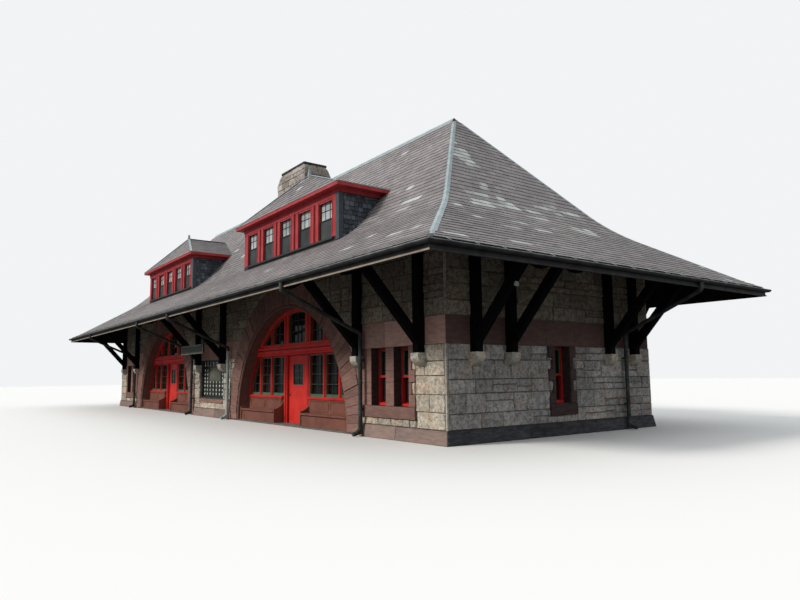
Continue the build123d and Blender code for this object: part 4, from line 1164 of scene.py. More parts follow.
# Pale slates: the middle and the half size of each patch, along the slope's eave and up it
RIGHT_PATCHES = (
    (-1.35, 6.35, 0.42, 0.62), (-1.05, 5.85, 0.3, 0.16), (-1.5, 4.45, 0.35, 0.13), (-1.94, 4.07, 0.4, 0.14),
    (-2.3, 3.5, 0.45, 0.15), (-1.6, 3.68, 0.7, 0.13), (-0.9, 3.8, 0.4, 0.14), (-0.3, 3.3, 0.35, 0.13),
    (-2.6, 1.9, 0.3, 0.12), (-1.7, 2.5, 0.4, 0.13), (-1.3, 2.0, 0.35, 0.12), (-0.9, 4.05, 0.3, 0.12),
    (0.5, 4.17, 0.3, 0.12), (-0.1, 3.65, 0.3, 0.12), (1.15, 4.2, 0.3, 0.12), (1.5, 3.85, 0.32, 0.12),
    (1.95, 4.1, 0.3, 0.12), (1.3, 2.85, 0.62, 0.34), (-3.2, 3.0, 0.22, 0.12), (-3.4, 2.3, 0.22, 0.12),
    (-5.5, 0.5, 0.3, 0.12), (-3.4, 0.55, 0.3, 0.12), (-2.1, 0.95, 0.28, 0.12), (0.6, 1.9, 0.25, 0.12))
FRONT_PATCHES = (
    (12.1, 4.06, 0.35, 0.12), (12.5, 4.15, 0.3, 0.12), (12.3, 3.7, 0.35, 0.12), (14.8, 1.2, 0.5, 0.12),
    (15.3, 1.24, 0.4, 0.12), (13.1, 1.76, 0.4, 0.12), (12.65, 1.26, 0.35, 0.12))


def slate_tone(u, s, patches=(), shift=0.0):
    """Mostly purple-brown slates, a rare pale one, and patches of them where the roof was mended."""
    tone = 0.42 + 0.3 * noise.noise(Vector((u * 0.25, s * 0.35, 7.0 + shift))) + rng.uniform(-0.2, 0.2)
    tone = min(max(tone, 0.0), 0.82)
    inside = any(((u - pu) / wide) ** 2 + ((s - ps) / high) ** 2 < 1 for pu, ps, wide, high in patches)
    if rng.random() < (0.82 if inside else 0.007):
        tone = rng.uniform(0.88, 1.0)
    return tone


# Dormers
DORMER_X = 6.45
DORMER_HALF = 3.525
DORMER_SETBACK = 0.1
DORMER_OVERHANG = 0.25
DORMER_PEAK = DORMER_HIGH.z
DORMER_RISE = DORMER_PEAK - DORMER_EAVE
DORMER_SIDE = DORMER_HIGH.x - DORMER_X
DORMER_NOSE = -DORMER_LOW.y
DORMER_PEAK_RUN = 1.15


def run_at(height):
    """Distance in from the eave at which the roof's upper slope reaches a height."""
    return KNEE_RUN + (height - EAVE_Z - LOWER_SLOPE * KNEE_RUN) / UPPER_SLOPE


def run_on_flare(height):
    """Run at which the roof reaches a height, anywhere on the flare."""
    low, high = 0.0, ROOF_LENGTH
    for _ in range(30):
        middle = (low + high) / 2
        if roof_point(middle)[1] < height:
            low = middle
        else:
            high = middle
    return roof_point(low)[0]


def under_front_things(u, s):
    """True where the chimney or a dormer covers the track-side slope."""
    run = roof_point(s)[0]
    if EAVE_Y - run < CHIMNEY_HIGH.y and abs(u - CHIMNEY_CENTRE) < (CHIMNEY_HIGH.x - CHIMNEY_LOW.x) / 2:
        return True
    reach = abs(abs(u) - DORMER_X)
    eave_run = run_at(DORMER_EAVE)
    top_run = run_at(DORMER_PEAK)
    if run < EAVE_Y - HALF_W + DORMER_SETBACK or run >= top_run:
        return False
    if run < eave_run:
        return reach < DORMER_HALF - 0.02
    return reach < DORMER_SIDE * (top_run - run) / (top_run - eave_run) - 0.12


def under_back_things(u, s):
    return under_front_things(-u, s)


def main_slates():
    """Slates on the four slopes of the main roof."""
    hip_gap = 0.06

    def limits_from(eave):
        def limits(s):
            reach = max(eave - roof_point(s)[0] - hip_gap, 0.0)
            return (-reach, reach)
        return limits

    for name, place, eave, blocked, patches, shift in (
            ("front_slates", front_slope, EAVE_X, under_front_things, FRONT_PATCHES, 0.0),
            ("back_slates", back_slope, EAVE_X, under_back_things, (), 5.0),
            ("right_slates", right_slope, EAVE_Y, None, RIGHT_PATCHES, 11.3),
            ("left_slates", left_slope, EAVE_Y, None, (), 17.0)):
        piece = Piece(name)
        slate_rows(piece, place, ROOF_LENGTH - 0.05, limits_from(eave),
                   lambda u, s, p=patches, k=shift: slate_tone(u, s, p, k), blocked)
        piece.build([SLATE], closed=False)


def dormer_faces(sign_x, sign_y):
    """The three roof planes of one dormer, each as a place function, its length and its row limits."""
    hip_length = math.hypot(DORMER_PEAK_RUN, DORMER_RISE)
    side_length = math.hypot(DORMER_SIDE, DORMER_RISE)
    centre = sign_x * DORMER_X

    def turn(x, y, z):
        return (centre - x * sign_y, -y * sign_y, z)

    def nose(u, s, lift):
        share = s / hip_length
        y = -DORMER_NOSE + DORMER_PEAK_RUN * share - lift * DORMER_RISE / hip_length
        return turn(u, y, DORMER_EAVE + DORMER_RISE * share + lift * DORMER_PEAK_RUN / hip_length)

    def nose_limits(s):
        reach = DORMER_SIDE * (1 - s / hip_length)
        return (-reach, reach)

    def flank(side):
        def place(u, s, lift):
            share = s / side_length
            x = side * (DORMER_SIDE * (1 - share) + lift * DORMER_RISE / side_length)
            return turn(x, side * u, DORMER_EAVE + DORMER_RISE * share + lift * DORMER_SIDE / side_length)

        def limits(s):
            share = s / side_length
            nose_y = -DORMER_NOSE + DORMER_PEAK_RUN * share
            return span(side, nose_y, run_at(DORMER_EAVE + DORMER_RISE * share) - EAVE_Y)
        return place, side_length, limits

    return [(nose, hip_length, nose_limits), flank(1), flank(-1)]


def dormer_slates():
    """Slates on the three planes of each dormer's roof."""
    piece = Piece("dormer_slates")
    for sign_x in (1, -1):
        for sign_y in (-1, 1):
            for place, length, limits in dormer_faces(sign_x, sign_y):
                slate_rows(piece, place, length - 0.02, limits,
                           lambda u, s: slate_tone(u, s, shift=31.0 + sign_x))
    piece.build([SLATE], closed=False)


def cheek_slates():
    """Small hung slates on the dormers' side walls."""
    piece = Piece("cheek_slates")
    z0 = 5.3
    length = DORMER_EAVE - 0.25 - z0
    corner_board = 0.04

    def limits(s):
        inner = EAVE_Y - run_on_flare(z0 + s)
        return (inner, max(inner, HALF_W - DORMER_SETBACK - 0.1 - corner_board))

    for sign_x in (1, -1):
        for sign_y in (-1, 1):
            for side in (1, -1):
                x = sign_x * DORMER_X + side * DORMER_HALF
                slate_rows(piece, lambda u, s, lift: (x + side * lift, sign_y * u, z0 + s), length, limits,
                           lambda u, s: rng.random(), exposure=0.145, width=0.165, gap=0.006, thickness=0.018)
    piece.build([CHEEK_SLATE], closed=False)


# Joinery of the four arches, in metres about an arch's centre
POST_OUT = -0.43
BEAM_OUT = -0.38
SASH_OUT = (-0.50, -0.455)
LIGHTS = ((0.93, 1.79), (1.96, 2.72), (2.89, 3.85))
CENTRE_LIGHT = 0.60
SCREEN_RADIUS = 3.74
SILL_TOP = 0.96
LIGHT_TOP = 2.30
TRANSOM = (2.33, 2.73)
# Past the arch, beside it and over it, so that a strip is cut to the arch's line
PAST_ARCH = 4.0
OVER_ARCH = 5.0
DOOR_HALF = 0.655
DOOR_SPAN = (0.062, 2.318)
DOOR_OUT = -0.51
DOOR_LIGHT = (0.35, 1.33, 2.03)
BAR = 0.008


def muntin(piece, place, u0, u1, z0, z1):
    """A glazing bar, stopped by the arch."""
    outline = inside_arch(rect(u0, u1, z0, z1), SCREEN_RADIUS - 0.03)
    if len(outline) > 2:
        plate(piece, place, outline, SASH_OUT[0] - 0.01, SASH_OUT[1] - 0.012)


def arch_light(frames, bars, place, u0, u1, z0, z1, wide, levels):
    """One light's sash, its level bars and its middle bar."""
    sash(frames, place, inside_arch(rect(u0, u1, z0, z1), SCREEN_RADIUS), wide, *SASH_OUT)
    for z in levels:
        muntin(bars, place, u0, u1, z - BAR, z + BAR)
    middle = (u0 + u1) / 2
    muntin(bars, place, middle - BAR, middle + BAR, z0, z1)


def arch_sashes():
    """Sashes and glazing bars in the lights of the four arches."""
    frames = Piece("arch_sashes")
    bars = Piece("arch_glazing_bars")
    upper = (TRANSOM[1], OVER_ARCH)
    for side_place, side in HALVES:
        place = at(side_place, side * ARCH_CENTRE)
        for hand in (1, -1):
            for near, far in LIGHTS:
                u0, u1 = span(hand, near, far)
                arch_light(frames, bars, place, u0, u1, SILL_TOP, LIGHT_TOP, 0.028, (1.36, 1.68, 2.0))
                rail = inside_arch(rect(u0, u1, SILL_TOP, SILL_TOP + 0.09), SCREEN_RADIUS)
                plate(frames, place, rail, SASH_OUT[0], SASH_OUT[1] + 0.004)
            for near, far in LIGHTS[:2]:
                arch_light(frames, bars, place, *span(hand, near, far), *upper, 0.026, (3.10,))
        arch_light(frames, bars, place, -CENTRE_LIGHT, CENTRE_LIGHT, *upper, 0.026, (3.13, 3.50))
    frames.build([GREEN])
    bars.build([BAR_GREEN])


# Transom mouldings: foot, head, how proud they stand, and their place in the list of paints
# Paint 1 is the brightened red, painted light; paint 2 is a thin deep red strip under a moulding, painted
# shade
TRANSOM_MOULDINGS = ((2.555, 2.625, 0.055, 1), (2.525, 2.555, 0.030, 2), (2.345, 2.375, 0.026, 1),
                     (2.331, 2.345, 0.006, 2))
# Beads on the posts: distance from the middle, foot, and whether they run on over the transom
POST_BEADS = ((0.797, 0.06, True), (1.875, SILL_TOP, True), (2.805, SILL_TOP, False))
BEAD_HALF = 0.045
BEAD_PROUD = 0.022
# The sills' noses: near end, far end, foot and head
SILL_NOSE = (0.93, 3.9, 0.885, 0.945)
# Round bosses of the transoms, in one row, and the rosettes: rings of (distance out, radius)
BOSS = ((-SUNK, 0.024), (0.012, 0.020), (0.020, 0.008))
BOSS_ROW = 2.405
BOSS_REACH = 3.0
BOSS_PITCH = 0.095
ROSETTE = ((0.0, 0.028), (0.018, 0.026), (0.03, 0.010))
ROSETTE_AT = (2.42, 2.46)
PETAL = ((0.0, 0.019), (0.012, 0.017), (0.018, 0.006))
PETALS = 8
PETAL_REACH = 0.048


def arch_mouldings():
    """Beads on the posts, mouldings and carved bosses on the transoms, and the sills' noses."""
    piece = Piece("arch_mouldings")
    dots = Piece("transom_bosses")
    full = ARCH_RADIUS - 0.004
    for side_place, side in HALVES:
        place = at(side_place, side * ARCH_CENTRE)
        for hand in (1, -1):
            for u, foot, upper in POST_BEADS:
                edges = (hand * u - BEAD_HALF, hand * u + BEAD_HALF)
                outlines = [inside_arch(rect(*edges, foot, TRANSOM[0]), SCREEN_RADIUS)]
                if upper:
                    outlines.append(inside_arch(rect(*edges, TRANSOM[1], OVER_ARCH), SCREEN_RADIUS - 0.005))
                for outline in outlines:
                    plate(piece, place, outline, POST_OUT - SUNK, POST_OUT + BEAD_PROUD, 0.006)
            near, far, foot, head = SILL_NOSE
            sill = inside_arch(rect(*span(hand, near, far), foot, head), full)
            plate(piece, place, sill, BEAM_OUT - SUNK, BEAM_OUT + 0.028, 0.008)
            rosette(dots, place, hand * ROSETTE_AT[0], ROSETTE_AT[1])
        for low, high, proud, kind in TRANSOM_MOULDINGS:
            outline = inside_arch(rect(-PAST_ARCH, PAST_ARCH, low, high), full)
            plate(piece, place, outline, BEAM_OUT - SUNK, BEAM_OUT + proud, 0.004, kind=kind)
        u = -BOSS_REACH
        while u < BOSS_REACH:
            turned(dots, place, u, BOSS_ROW, BOSS, 6, BEAM_OUT)
            u += BOSS_PITCH
    piece.build([RED, BRIGHTENED_UPPER_RED, DEEP_RED])
    dots.build([BRIGHTENED_UPPER_RED])


def rosette(piece, place, u, z):
    """A round boss with petals about it."""
    face = BEAM_OUT - SUNK
    turned(piece, place, u, z, ROSETTE, 12, face)
    for k in range(PETALS):
        angle = 2 * math.pi * k / PETALS
        across = PETAL_REACH * math.cos(angle)
        turned(piece, place, u + across, z + PETAL_REACH * math.sin(angle), PETAL, 8, face)


def door_planks(piece, place):
    """Planks of one door, cut round its light, and the flat surround of the light."""
    half, light_low, light_high = DOOR_LIGHT
    surround = 0.055
    edge = half + surround
    low = light_low - surround
    high = light_high + surround
    bottom, top = DOOR_SPAN
    planks = 10
    gap = 0.005
    width = 2 * DOOR_HALF / planks

    def plank(u0, u1, z0, z1):
        plate(piece, place, rect(u0, u1, z0, z1), DOOR_OUT - 0.001, DOOR_OUT + 0.004, 0.002, rng.random())

    for i in range(planks):
        u0 = -DOOR_HALF + i * width + gap / 2
        u1 = u0 + width - gap
        if u1 < -edge or u0 > edge:
            plank(u0, u1, bottom, top)
            continue
        if u0 < -edge:
            plank(u0, -edge, low, high)
        if u1 > edge:
            plank(edge, u1, low, high)
        plank(u0, u1, bottom, low)
        plank(u0, u1, high, top)
    frame_round(piece, place, -edge, edge, low, high, surround, DOOR_OUT - 0.001, DOOR_OUT + 0.010)


def door_light(piece, place):
    """The rim and the bars of a door's six-pane light."""
    half, low, high = DOOR_LIGHT
    rim = 0.02
    thin = 0.010
    behind = DOOR_OUT - 0.017
    frame_round(piece, place, -half, half, low, high, 0.022, DOOR_OUT - 0.016, DOOR_OUT + 0.003)
    plate(piece, place, rect(-thin, thin, low + rim, high - rim), behind, DOOR_OUT - 0.003)
    for share in (1 / 3, 2 / 3):
        z = low + (high - low) * share
        plate(piece, place, rect(-half + rim, half - rim, z - thin, z + thin), behind, DOOR_OUT - 0.0035)


# The knob: its place on the leaf, and rings of (distance out of the leaf, radius)
KNOB_AT = (-0.575, 1.0)
KNOB = ((0.0, 0.032), (0.008, 0.030), (0.010, 0.011), (0.035, 0.010), (0.040, 0.023), (0.052, 0.029),
        (0.064, 0.023), (0.069, 0.010))


def door_details():
    """Planks, the six-pane light and the knob of each door, on the body of that door."""
    for side_place, side in HALVES:
        place = at(side_place, side * ARCH_CENTRE)
        name = "right_door" if side > 0 else "left_door"
        body = name
        if side_place is back:
            name = "back_" + name
            body = BODY
        planks = Piece(name + "_planks")
        door_planks(planks, place)
        planks.build([DOOR_RED], body)
        light = Piece(name + "_light")
        door_light(light, place)
        light.build([BAR_GREEN], body)
        knob = Piece(name + "_knob")
        turned(knob, place, KNOB_AT[0] * side, KNOB_AT[1], KNOB, face=DOOR_OUT)
        knob.build([IRON], body, smooth=True)


def benches():
    """Boards, noses and panels on the benches of the front arches."""
    piece = Piece("bench_boards")
    seat = 0.45
    near_door = 0.992
    seat_end = 3.718
    back_end = 3.55
    front_edge, rear_edge = 0.062, 0.378
    nose = (seat - 0.045, seat + 0.006)
    skirting = (0.055, 0.13)
    panel = (0.50, 0.825)
    panel_clear = 0.04
    rail = (0.84, 0.86)
    boards = 3
    panels = 2
    deep = (rear_edge - front_edge) / boards
    face = -0.382
    for side in (1, -1):
        place = at(front, side * ARCH_CENTRE)
        for hand in (1, -1):
            u0, u1 = span(hand, near_door, seat_end)
            for i in range(boards):
                board = rect(u0, u1, front_edge + i * deep + 0.002, front_edge + (i + 1) * deep - 0.002)
                plate(piece, lying(place, seat), board, -SUNK, 0.009, 0.003, rng.random())
            plate(piece, place, rect(u0, u1, *nose), -0.072, -0.052, 0.006)
            plate(piece, place, rect(u0, u1, *skirting), -0.102, -0.090, 0.004)
            back0, back1 = span(hand, near_door, back_end)
            wide = (back1 - back0) / panels
            for i in range(panels):
                a = back0 + i * wide
                outline = rounded(a + panel_clear, a + wide - panel_clear, *panel, 0.13)
                sash(piece, place, outline, 0.018, face, -0.370)
            plate(piece, place, rect(back0, back1, *rail), face, -0.362, 0.004)
    piece.build([BENCH])


# Windows of the piers and ends
def sash_windows():
    """Upper and lower sashes of the paired windows and the end windows, with sill blocks."""
    upper = Piece("upper_sashes")
    lower = Piece("lower_sashes")
    blocks = Piece("window_sill_blocks")
    openings = [(place, *span(sign, u0, u1)) for place, sign in HALVES for u0, u1 in PAIR]
    openings += [(place, -END_HALF, END_HALF) for place in ENDS]
    middle = (PAIR_SILL + BAND_BOTTOM) / 2
    casing = 0.06
    upper_wide, lower_wide = 0.035, 0.04
    back_face, sash_face, front_face = -0.315, -0.285, -0.255
    bar_half = 0.011
    for place, u0, u1 in openings:
        a = u0 + casing - SUNK
        b = u1 - casing + SUNK
        centre = (a + b) / 2
        frame_round(upper, place, a, b, middle, BAND_BOTTOM - casing, upper_wide, sash_face, front_face)
        frame_round(lower, place, a, b, PAIR_SILL + casing, middle, lower_wide, back_face, sash_face)
        for piece, z0, z1, out in ((lower, PAIR_SILL + casing, middle, back_face),
                                   (upper, middle, BAND_BOTTOM - casing, sash_face)):
            plate(piece, place, rect(centre - bar_half, centre + bar_half, z0, z1), out, out + 0.02)
        block = rect(u0 + 0.003, u1 - 0.003, PAIR_SILL + 0.001, PAIR_SILL + 0.065)
        plate(blocks, place, block, -0.3, -0.21, 0.008)
    upper.build([GREEN])
    lower.build([DEEP_RED])
    blocks.build([DOOR_RED])


# The leaded centre window: its clear pane, and where its leads and roundels lie
LEADED = (1.29, 0.79, BAND_BOTTOM - 0.06)
CLEAR = (0.64, 1.48, 2.02)
LEAD_HALF = 0.007
LEAD_COLUMNS = (0.0, 0.35, 0.69, 1.0)
LEAD_ROWS = (0.85, 1.01, 1.175, 1.34, 1.485, 1.655, 1.825, 1.985, 2.165)
ROUNDEL_COLUMNS = (0.175, 0.525, 0.85, 1.15)
ROUNDEL_ROWS = (0.93, 1.09, 1.26, 1.42, 2.11, 2.22)
SIDE_ROWS = (1.57, 1.74, 1.91)
LEADED_OUT = -0.13
# A roundel's radius beside the pane and over it, and its rings of (distance out, share of the radius)
ROUNDEL_RADII = (0.057, 0.05)
ROUNDEL_RINGS = ((0.0, 1.0), (0.006, 0.96), (0.010, 0.5), (0.016, 0.16))


def leaded_window():
    """The wide centre window: a clear pane among leaded squares with pale roundels."""
    leads = Piece("window_leads")
    roundels = Piece("window_roundels")
    pane = Piece("clear_panes")
    trim = Piece("centre_window_trim")
    reach, bottom, top = LEADED
    pane_u, pane_low, pane_high = CLEAR
    rim = 0.03
    spots = [(hand * u, z) for hand in (1, -1) for u in ROUNDEL_COLUMNS for z in ROUNDEL_ROWS]
    spots += [(hand * u, z) for hand in (1, -1) for u in ROUNDEL_COLUMNS[2:] for z in SIDE_ROWS]
    for place in LONG_SIDES:
        for u, z in spots:
            radius = ROUNDEL_RADII[z > pane_high]
            rings = [(out, radius * share) for out, share in ROUNDEL_RINGS]
            turned(roundels, place, u, z, rings, 12, LEADED_OUT)
        for u in LEAD_COLUMNS:
            for hand in (1, -1):
                for z0, z1 in ((bottom, pane_low), (pane_high, top)) if u < pane_u else ((bottom, top),):
                    column = rect(hand * u - LEAD_HALF, hand * u + LEAD_HALF, z0, z1)
                    plate(leads, place, column, LEADED_OUT, LEADED_OUT + 0.006)
        for z in LEAD_ROWS:
            beside = ((-reach, -pane_u), (pane_u, reach))
            for u0, u1 in beside if pane_low < z < pane_high else ((-reach, reach),):
                row = rect(u0, u1, z - LEAD_HALF, z + LEAD_HALF)
                plate(leads, place, row, LEADED_OUT, LEADED_OUT + 0.0065)
        frame_round(leads, place, -pane_u - rim, pane_u + rim, pane_low - rim, pane_high + rim, rim,
                    LEADED_OUT, LEADED_OUT + 0.012)
        plate(pane, place, rect(-pane_u, pane_u, pane_low, pane_high), LEADED_OUT, LEADED_OUT + 0.002)
        frame_round(trim, place, -1.349, 1.349, 0.732, BAND_BOTTOM - 0.001, 0.062, -0.128, -0.036)
    leads.build([LEAD])
    roundels.build([ROUNDEL], smooth=True)
    pane.build([CLEAR_PANE])
    trim.build([LEAD])


# Dormer windows
DORMER_LIGHT_HALF = 0.42
DORMER_PITCH = 1.36
DORMER_LIGHTS = 5
CASING = 0.195
CASING_BEAD = 0.035
GROOVE = 0.13
MEETING = 6.42

# The outermost casing, past this place, is a little wider
OUTER_CASING_FROM = 3.0
OUTER_CASING = 0.2


def dormer_casings(casings, grooves, place, w0, w1, last):
    """Boards beside and over one window, and the dark groove after it."""
    low, high = DORMER_WINDOW
    for a, b in ((w0 - CASING, w0), (w1, w1 + CASING)):
        if a > OUTER_CASING_FROM:
            b = a + OUTER_CASING
        plate(casings, place, rect(a, b, low, high + 0.002), -SUNK, 0.024, 0.005, rng.random())
        inner = (b - CASING_BEAD, b) if b <= w0 + 0.001 else (a, a + CASING_BEAD)
        plate(casings, place, rect(*inner, low, high), 0.02, 0.036, 0.004)
    plate(casings, place, rect(w0 - 0.02, w1 + 0.02, high - 0.05, high), -0.03, 0.012, 0.003)
    if not last:
        # The groove between casings is deep red: painted shade in the gap
        plate(grooves, place, rect(w1 + CASING, w1 + CASING + GROOVE, low, high), 0.0, 0.003)


def dormer_windows():
    """Casings, sashes, screens and corner boards of the four dormers."""
    casings = Piece("dormer_casings")
    grooves = Piece("dormer_grooves")
    corner = Piece("dormer_corner_boards")
    upper = Piece("dormer_upper_sashes")
    panes = Piece("dormer_upper_panes")
    lower = Piece("dormer_screens")
    edges = Piece("dormer_lower_sashes")
    low, high = DORMER_WINDOW
    head = 7.13
    board_foot = 5.68
    bar_half = 0.007
    bar_depths = (-0.082, -0.062)
    for side_place, side in HALVES:
        place = at(side_place, side * DORMER_X, DORMER_SETBACK)
        for i in range(DORMER_LIGHTS):
            middle = (i - (DORMER_LIGHTS - 1) / 2) * DORMER_PITCH
            w0 = middle - DORMER_LIGHT_HALF
            w1 = middle + DORMER_LIGHT_HALF
            dormer_casings(casings, grooves, place, w0, w1, i == DORMER_LIGHTS - 1)
            frame_round(upper, place, w0, w1, MEETING - 0.02, high, 0.042, -0.085, -0.055)
            for share in (1 / 3, 2 / 3):
                u = w0 + (w1 - w0) * share
                plate(upper, place, rect(u - bar_half, u + bar_half, MEETING, high), *bar_depths)
            z = (MEETING + high) / 2
            plate(upper, place, rect(w0, w1, z - bar_half, z + bar_half), *bar_depths)
            plate(panes, place, rect(w0, w1, MEETING, high), -0.085, -0.078)
            frame_round(edges, place, w0, w1, low, MEETING + 0.01, 0.036, -0.06, -0.035)
            plate(lower, place, rect(w0, w1, low, MEETING), -0.062, -0.052)
        plate(casings, place, rect(-3.5, 3.5, high + 0.004, head - 0.002), -SUNK, 0.028, 0.006)
        board_span = (3.35, 3.534) if side_place is front else (-3.528, -3.35)
        plate(corner, place, rect(*board_span, board_foot, head), -0.13, 0.03, 0.005)
    casings.build([DORMER_RED])
    # Grooves in deep red: painted shade
    grooves.build([DEEP_RED])
    corner.build([CHEEK_SLATE])
    upper.build([DARK_SASH])
    panes.build([GLASS_PAINTED_SKY_REFLECTION])
    lower.build([SCREEN_MESH])
    edges.build([DARK_SASH])


def dormer_metal():
    """Sheet metal strips on the dormers' hips, ridges and valleys."""
    pale = Piece("dormer_hip_strips")
    dark = Piece("dormer_ridge_strips")
    eave_y = HALF_W - DORMER_SETBACK + DORMER_OVERHANG
    back_y = EAVE_Y - run_at(DORMER_PEAK)
    valley_y = EAVE_Y - run_at(DORMER_EAVE)
    lift = 0.016
    low = DORMER_EAVE + lift
    high = DORMER_PEAK + lift
    slope = math.atan(UPPER_SLOPE)
    for sx in (1, -1):
        for sy in (-1, 1):
            def turn(x, y, z):
                return (sx * DORMER_X + x, sy * y, z)
            peak = turn(0, eave_y - DORMER_PEAK_RUN, high)
            for hand in (1, -1):
                normal = (hand * DORMER_RISE, sy * DORMER_RISE * 0.5, DORMER_SIDE)
                bar(pale, turn(hand * (DORMER_SIDE - 0.02), eave_y - 0.02, low), peak, 0.10, 0.020, normal)
                bar(dark, turn(hand * DORMER_SIDE, valley_y, low), turn(0, back_y, high), 0.10, 0.016,
                    (0, sy * math.sin(slope), math.cos(slope)))
            bar(dark, peak, turn(0, back_y - 0.05, high), 0.14, 0.03)
    pale.build([COPPER])
    dark.build([DARK_COPPER])


# Eaves, sign, lamp and pipes
def eave_fillet():
    """The fillet that tilts the first slates."""
    fillet = Piece("eave_fillet")
    section = ((0.001, -0.015), (0.001, 0.045), (-0.17, 0.152), (-0.17, 0.105))
    around(fillet, [(out, EAVE_Z + up) for out, up in section], EAVE_X, EAVE_Y)
    fillet.build([GUTTER])


def gutter_bead():
    """The gutter's rolled edge and the straps that hold it."""
    rim = Piece("gutter_bead")
    out, z, radius = 0.162, EAVE_Z - 0.028, 0.011
    angles = [math.pi * k / 3 for k in range(6)]
    around(rim, [(out + radius * math.cos(a), z + radius * math.sin(a)) for a in angles], EAVE_X, EAVE_Y)
    strap_pitch = 0.72
    for place, half in SLOPES:
        count = round(2 * half / strap_pitch)
        for i in range(count):
            u = -half + 2 * half * (i + 0.5) / count
            inner = Vector(place(u, 0.10, 0.02))
            edge = Vector(place(u, 0.0, 0.0))
            outward = Vector((edge.x - inner.x, edge.y - inner.y, 0)).normalized()
            outer = Vector((edge.x, edge.y, 0)) + outward * 0.16
            outer.z = EAVE_Z - 0.02
            bar(rim, inner, outer, 0.026, 0.006)
    # Bead and straps in the pale metal: painted highlight
    rim.build([RIM])


def fascia_strip():
    """The strip at the fascia's foot, pale on the long sides."""
    strip = Piece("fascia_strip")
    low = EAVE_Z - ROOF_DEPTH
    around(strip, rect(0.038, 0.062, low, low + 0.034), EAVE_X, EAVE_Y)
    strip.kinds = [1 - i % 2 for i in range(len(strip.faces))]
    strip.build([TRIM, GUTTER])


def soffit_boards():
    """Boards under the eaves, run round the building."""
    boards = Piece("soffit_boards")
    farthest = 2.40
    pitch = 0.146
    board = 0.14
    thick = 0.012
    out = 0.02
    while out + board < farthest:
        z0 = WALL_TOP - LOWER_SLOPE * out
        z1 = WALL_TOP - LOWER_SLOPE * (out + board)
        section = [(out, z0 + 0.001), (out + board, z1 + 0.001), (out + board, z1 - thick), (out, z0 - thick)]
        around(boards, section, HALF_L, HALF_W, rng.random())
        out += pitch
    boards.build([SOFFIT])


def name_board():
    """A bare board hung between the two middle brackets of the track side."""
    board = Piece("name_board")
    edge = Piece("name_board_edge")
    hangers = Piece("name_board_hangers")
    half, low, high, y, thick = 1.31, 2.56, 2.92, -4.9, 0.022
    hanger = 1.345
    hanger_top = 3.12
    hook = ((0.0, 2.99), (-0.09, 2.97), (-0.11, 2.90), (-0.05, 2.86))
    box_between(board, (-half, y - thick, low), (half, y + thick, high))
    for side in (-1, 1):
        def place(u, z, out):
            return (u, y + side * (thick + out), z)
        frame_round(edge, place, -half, half, low, high, 0.028, -SUNK, 0.012)
        frame_round(edge, place, -half + 0.05, half - 0.05, low + 0.05, high - 0.05, 0.010, -SUNK, 0.004)
        x = side * hanger
        bar(hangers, (x, y, low + 0.02), (x, y, hanger_top), 0.024, 0.024, (0, 1, 0))
        for z in (low + 0.06, high - 0.06):
            bar(hangers, (side * (half - 0.02), y, z), (x, y, z), 0.02, 0.02)
        tube(hangers, [(x, y + forth, z) for forth, z in hook], 0.008, 6)
    board.build([SIGN])
    edge.build([SIGN_EDGE])
    hangers.build([IRON])


def strut_lamp():
    """A small round lamp under a strut of the right end."""
    piece = Piece("strut_lamp")
    x, y, z = 16.28, -3.19, 3.60
    rings = ((-0.04, 0.034), (0.0, 0.048), (0.03, 0.056), (0.04, 0.056), (0.04, 0.040), (0.015, 0.03))
    turned(piece, lambda u, v, out: (x + out, y + u, z + v), 0, 0, rings, 16)
    bar(piece, (x - 0.02, y, z + 0.03), (x - 0.02, y, z + 0.13), 0.03, 0.03, (0, 1, 0))
    piece.build([LAMP])


# Pipes: places along the walls, a shoe's path as (height, distance past the pipe's middle), and the collars
LONG_PIPES = (11.47, -11.47, INNER_PIPE, -INNER_PIPE)
END_PIPE = 2.7
SHOE = ((0.42, 0.0), (0.24, 0.0), (0.15, 0.04), (0.085, 0.14), (0.07, 0.24))
SHOE_RADIUS = 0.061
COLLARS = (0.74, 1.42, 2.04, 2.5)
COLLAR_RADIUS = 0.066
COLLAR_HALF = 0.03


def pipe_shoes():
    """Shoes and collars of the rainwater pipes."""
    piece = Piece("pipe_shoes")
    standoff = PLINTH_FOOT + 0.06
    spots = [(place, u) for place in LONG_SIDES for u in LONG_PIPES]
    for place, u in spots + [(right_end, END_PIPE), (left_end, -END_PIPE)]:
        tube(piece, [place(u, z, standoff + out) for z, out in SHOE], SHOE_RADIUS)
        for z in COLLARS:
            tube(piece, [place(u, z + end, standoff) for end in (-COLLAR_HALF, COLLAR_HALF)], COLLAR_RADIUS)
    piece.build([PIPE])


# Camera, light and floor
CAMERA_AT = (26.027, -13.676, 1.6)
CAMERA_YAW = 53.33
CAMERA_PITCH = 6.76
CAMERA_ROLL = -0.644
FOCAL_PIXELS = 638.3
PICTURE_WIDTH = 800
SENSOR = 36.0


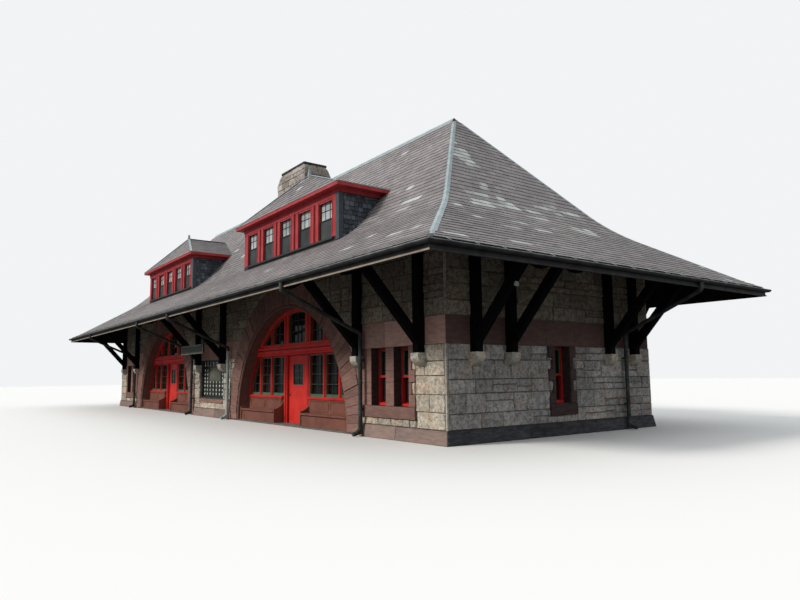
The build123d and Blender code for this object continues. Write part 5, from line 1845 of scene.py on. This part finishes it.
def camera():
    """The photograph's camera, as solved from the building's own lines."""
    data = bpy.data.cameras.new("camera")
    data.lens = SENSOR * FOCAL_PIXELS / PICTURE_WIDTH
    data.clip_end = 300
    holder = bpy.data.objects.new("camera", data)
    yaw = math.radians(CAMERA_YAW)
    pitch = math.radians(CAMERA_PITCH)
    roll = math.radians(CAMERA_ROLL)
    forward = Vector((-math.sin(yaw) * math.cos(pitch), math.cos(yaw) * math.cos(pitch), math.sin(pitch)))
    right = Vector((math.cos(yaw), math.sin(yaw), 0.0))
    up = right.cross(forward)
    rolled_right = right * math.cos(roll) + up * math.sin(roll)
    rolled_up = up * math.cos(roll) - right * math.sin(roll)
    matrix = Matrix((rolled_right, rolled_up, -forward)).transposed().to_4x4()
    matrix.translation = CAMERA_AT
    holder.matrix_world = matrix
    bpy.context.scene.collection.objects.link(holder)
    bpy.context.scene.camera = holder


def sky():
    """A pale backdrop for the camera, and for all else a sky that is dim low down and bright overhead."""
    world = bpy.data.worlds.new("studio")
    world.use_nodes = True
    tree = world.node_tree
    background = tree.nodes["Background"]
    where = tree.nodes.new("ShaderNodeTexCoord")
    split = tree.nodes.new("ShaderNodeSeparateXYZ")
    fade = tree.nodes.new("ShaderNodeValToRGB")
    tree.links.new(where.outputs["Generated"], split.inputs["Vector"])
    tree.links.new(split.outputs["Z"], fade.inputs["Fac"])
    stops = ((0.05, (0.25, 0.26, 0.27)), (0.75, (0.95, 0.98, 1.0)))
    for element, (position, colour) in zip(fade.color_ramp.elements, stops):
        element.position = position
        element.color = (*colour, 1.0)
    tree.links.new(fade.outputs["Color"], background.inputs["Color"])
    background.inputs["Strength"].default_value = 1.0
    bright = tree.nodes.new("ShaderNodeBackground")
    bright.inputs["Color"].default_value = (0.93, 0.945, 0.96, 1.0)
    bright.inputs["Strength"].default_value = 0.95
    path = tree.nodes.new("ShaderNodeLightPath")
    mixer = tree.nodes.new("ShaderNodeMixShader")
    tree.links.new(path.outputs["Is Camera Ray"], mixer.inputs["Fac"])
    tree.links.new(background.outputs["Background"], mixer.inputs[1])
    tree.links.new(bright.outputs["Background"], mixer.inputs[2])
    tree.links.new(mixer.outputs["Shader"], tree.nodes["World Output"].inputs["Surface"])
    bpy.context.scene.world = world


def sunlight():
    """A soft sun from the front left."""
    sun = bpy.data.lights.new("key", "SUN")
    sun.energy = 2.3
    sun.angle = math.radians(14)
    sun.color = (1.0, 0.96, 0.9)
    lamp = bpy.data.objects.new("key", sun)
    lamp.rotation_euler = Vector((0.30, 0.80, -0.62)).to_track_quat("-Z", "Y").to_euler()
    bpy.context.scene.collection.objects.link(lamp)


def floor():
    """A plain floor, pale for the camera and dark for the light that it sends back up."""
    mesh = bpy.data.meshes.new("floor")
    reach = 150
    mesh.from_pydata([(x, y, 0) for x, y in rect(-reach, reach, -reach, reach)], [], [[0, 1, 2, 3]])
    ground = Shader("studio_floor", roughness=0.9, specular=0.1)
    ray = ground.tree.nodes.new("ShaderNodeLightPath")
    ground.colour(ground.mix("MIX", ray.outputs["Is Camera Ray"], (0.12, 0.115, 0.11), (0.80, 0.80, 0.79)))
    mesh.materials.append(ground.material)
    plane = bpy.data.objects.new("floor", mesh)
    bpy.context.scene.collection.objects.link(plane)
    bpy.context.scene.view_settings.view_transform = "Standard"


dress_nodes()
granite_walls()
corner_margins()
dressed_stones()
plinth_stones()
voussoirs()
chimney_stones()
main_slates()
dormer_slates()
cheek_slates()
arch_sashes()
arch_mouldings()
door_details()
benches()
sash_windows()
leaded_window()
dormer_windows()
dormer_metal()
eave_fillet()
gutter_bead()
fascia_strip()
soffit_boards()
name_board()
strut_lamp()
pipe_shoes()
camera()
sky()
sunlight()
floor()
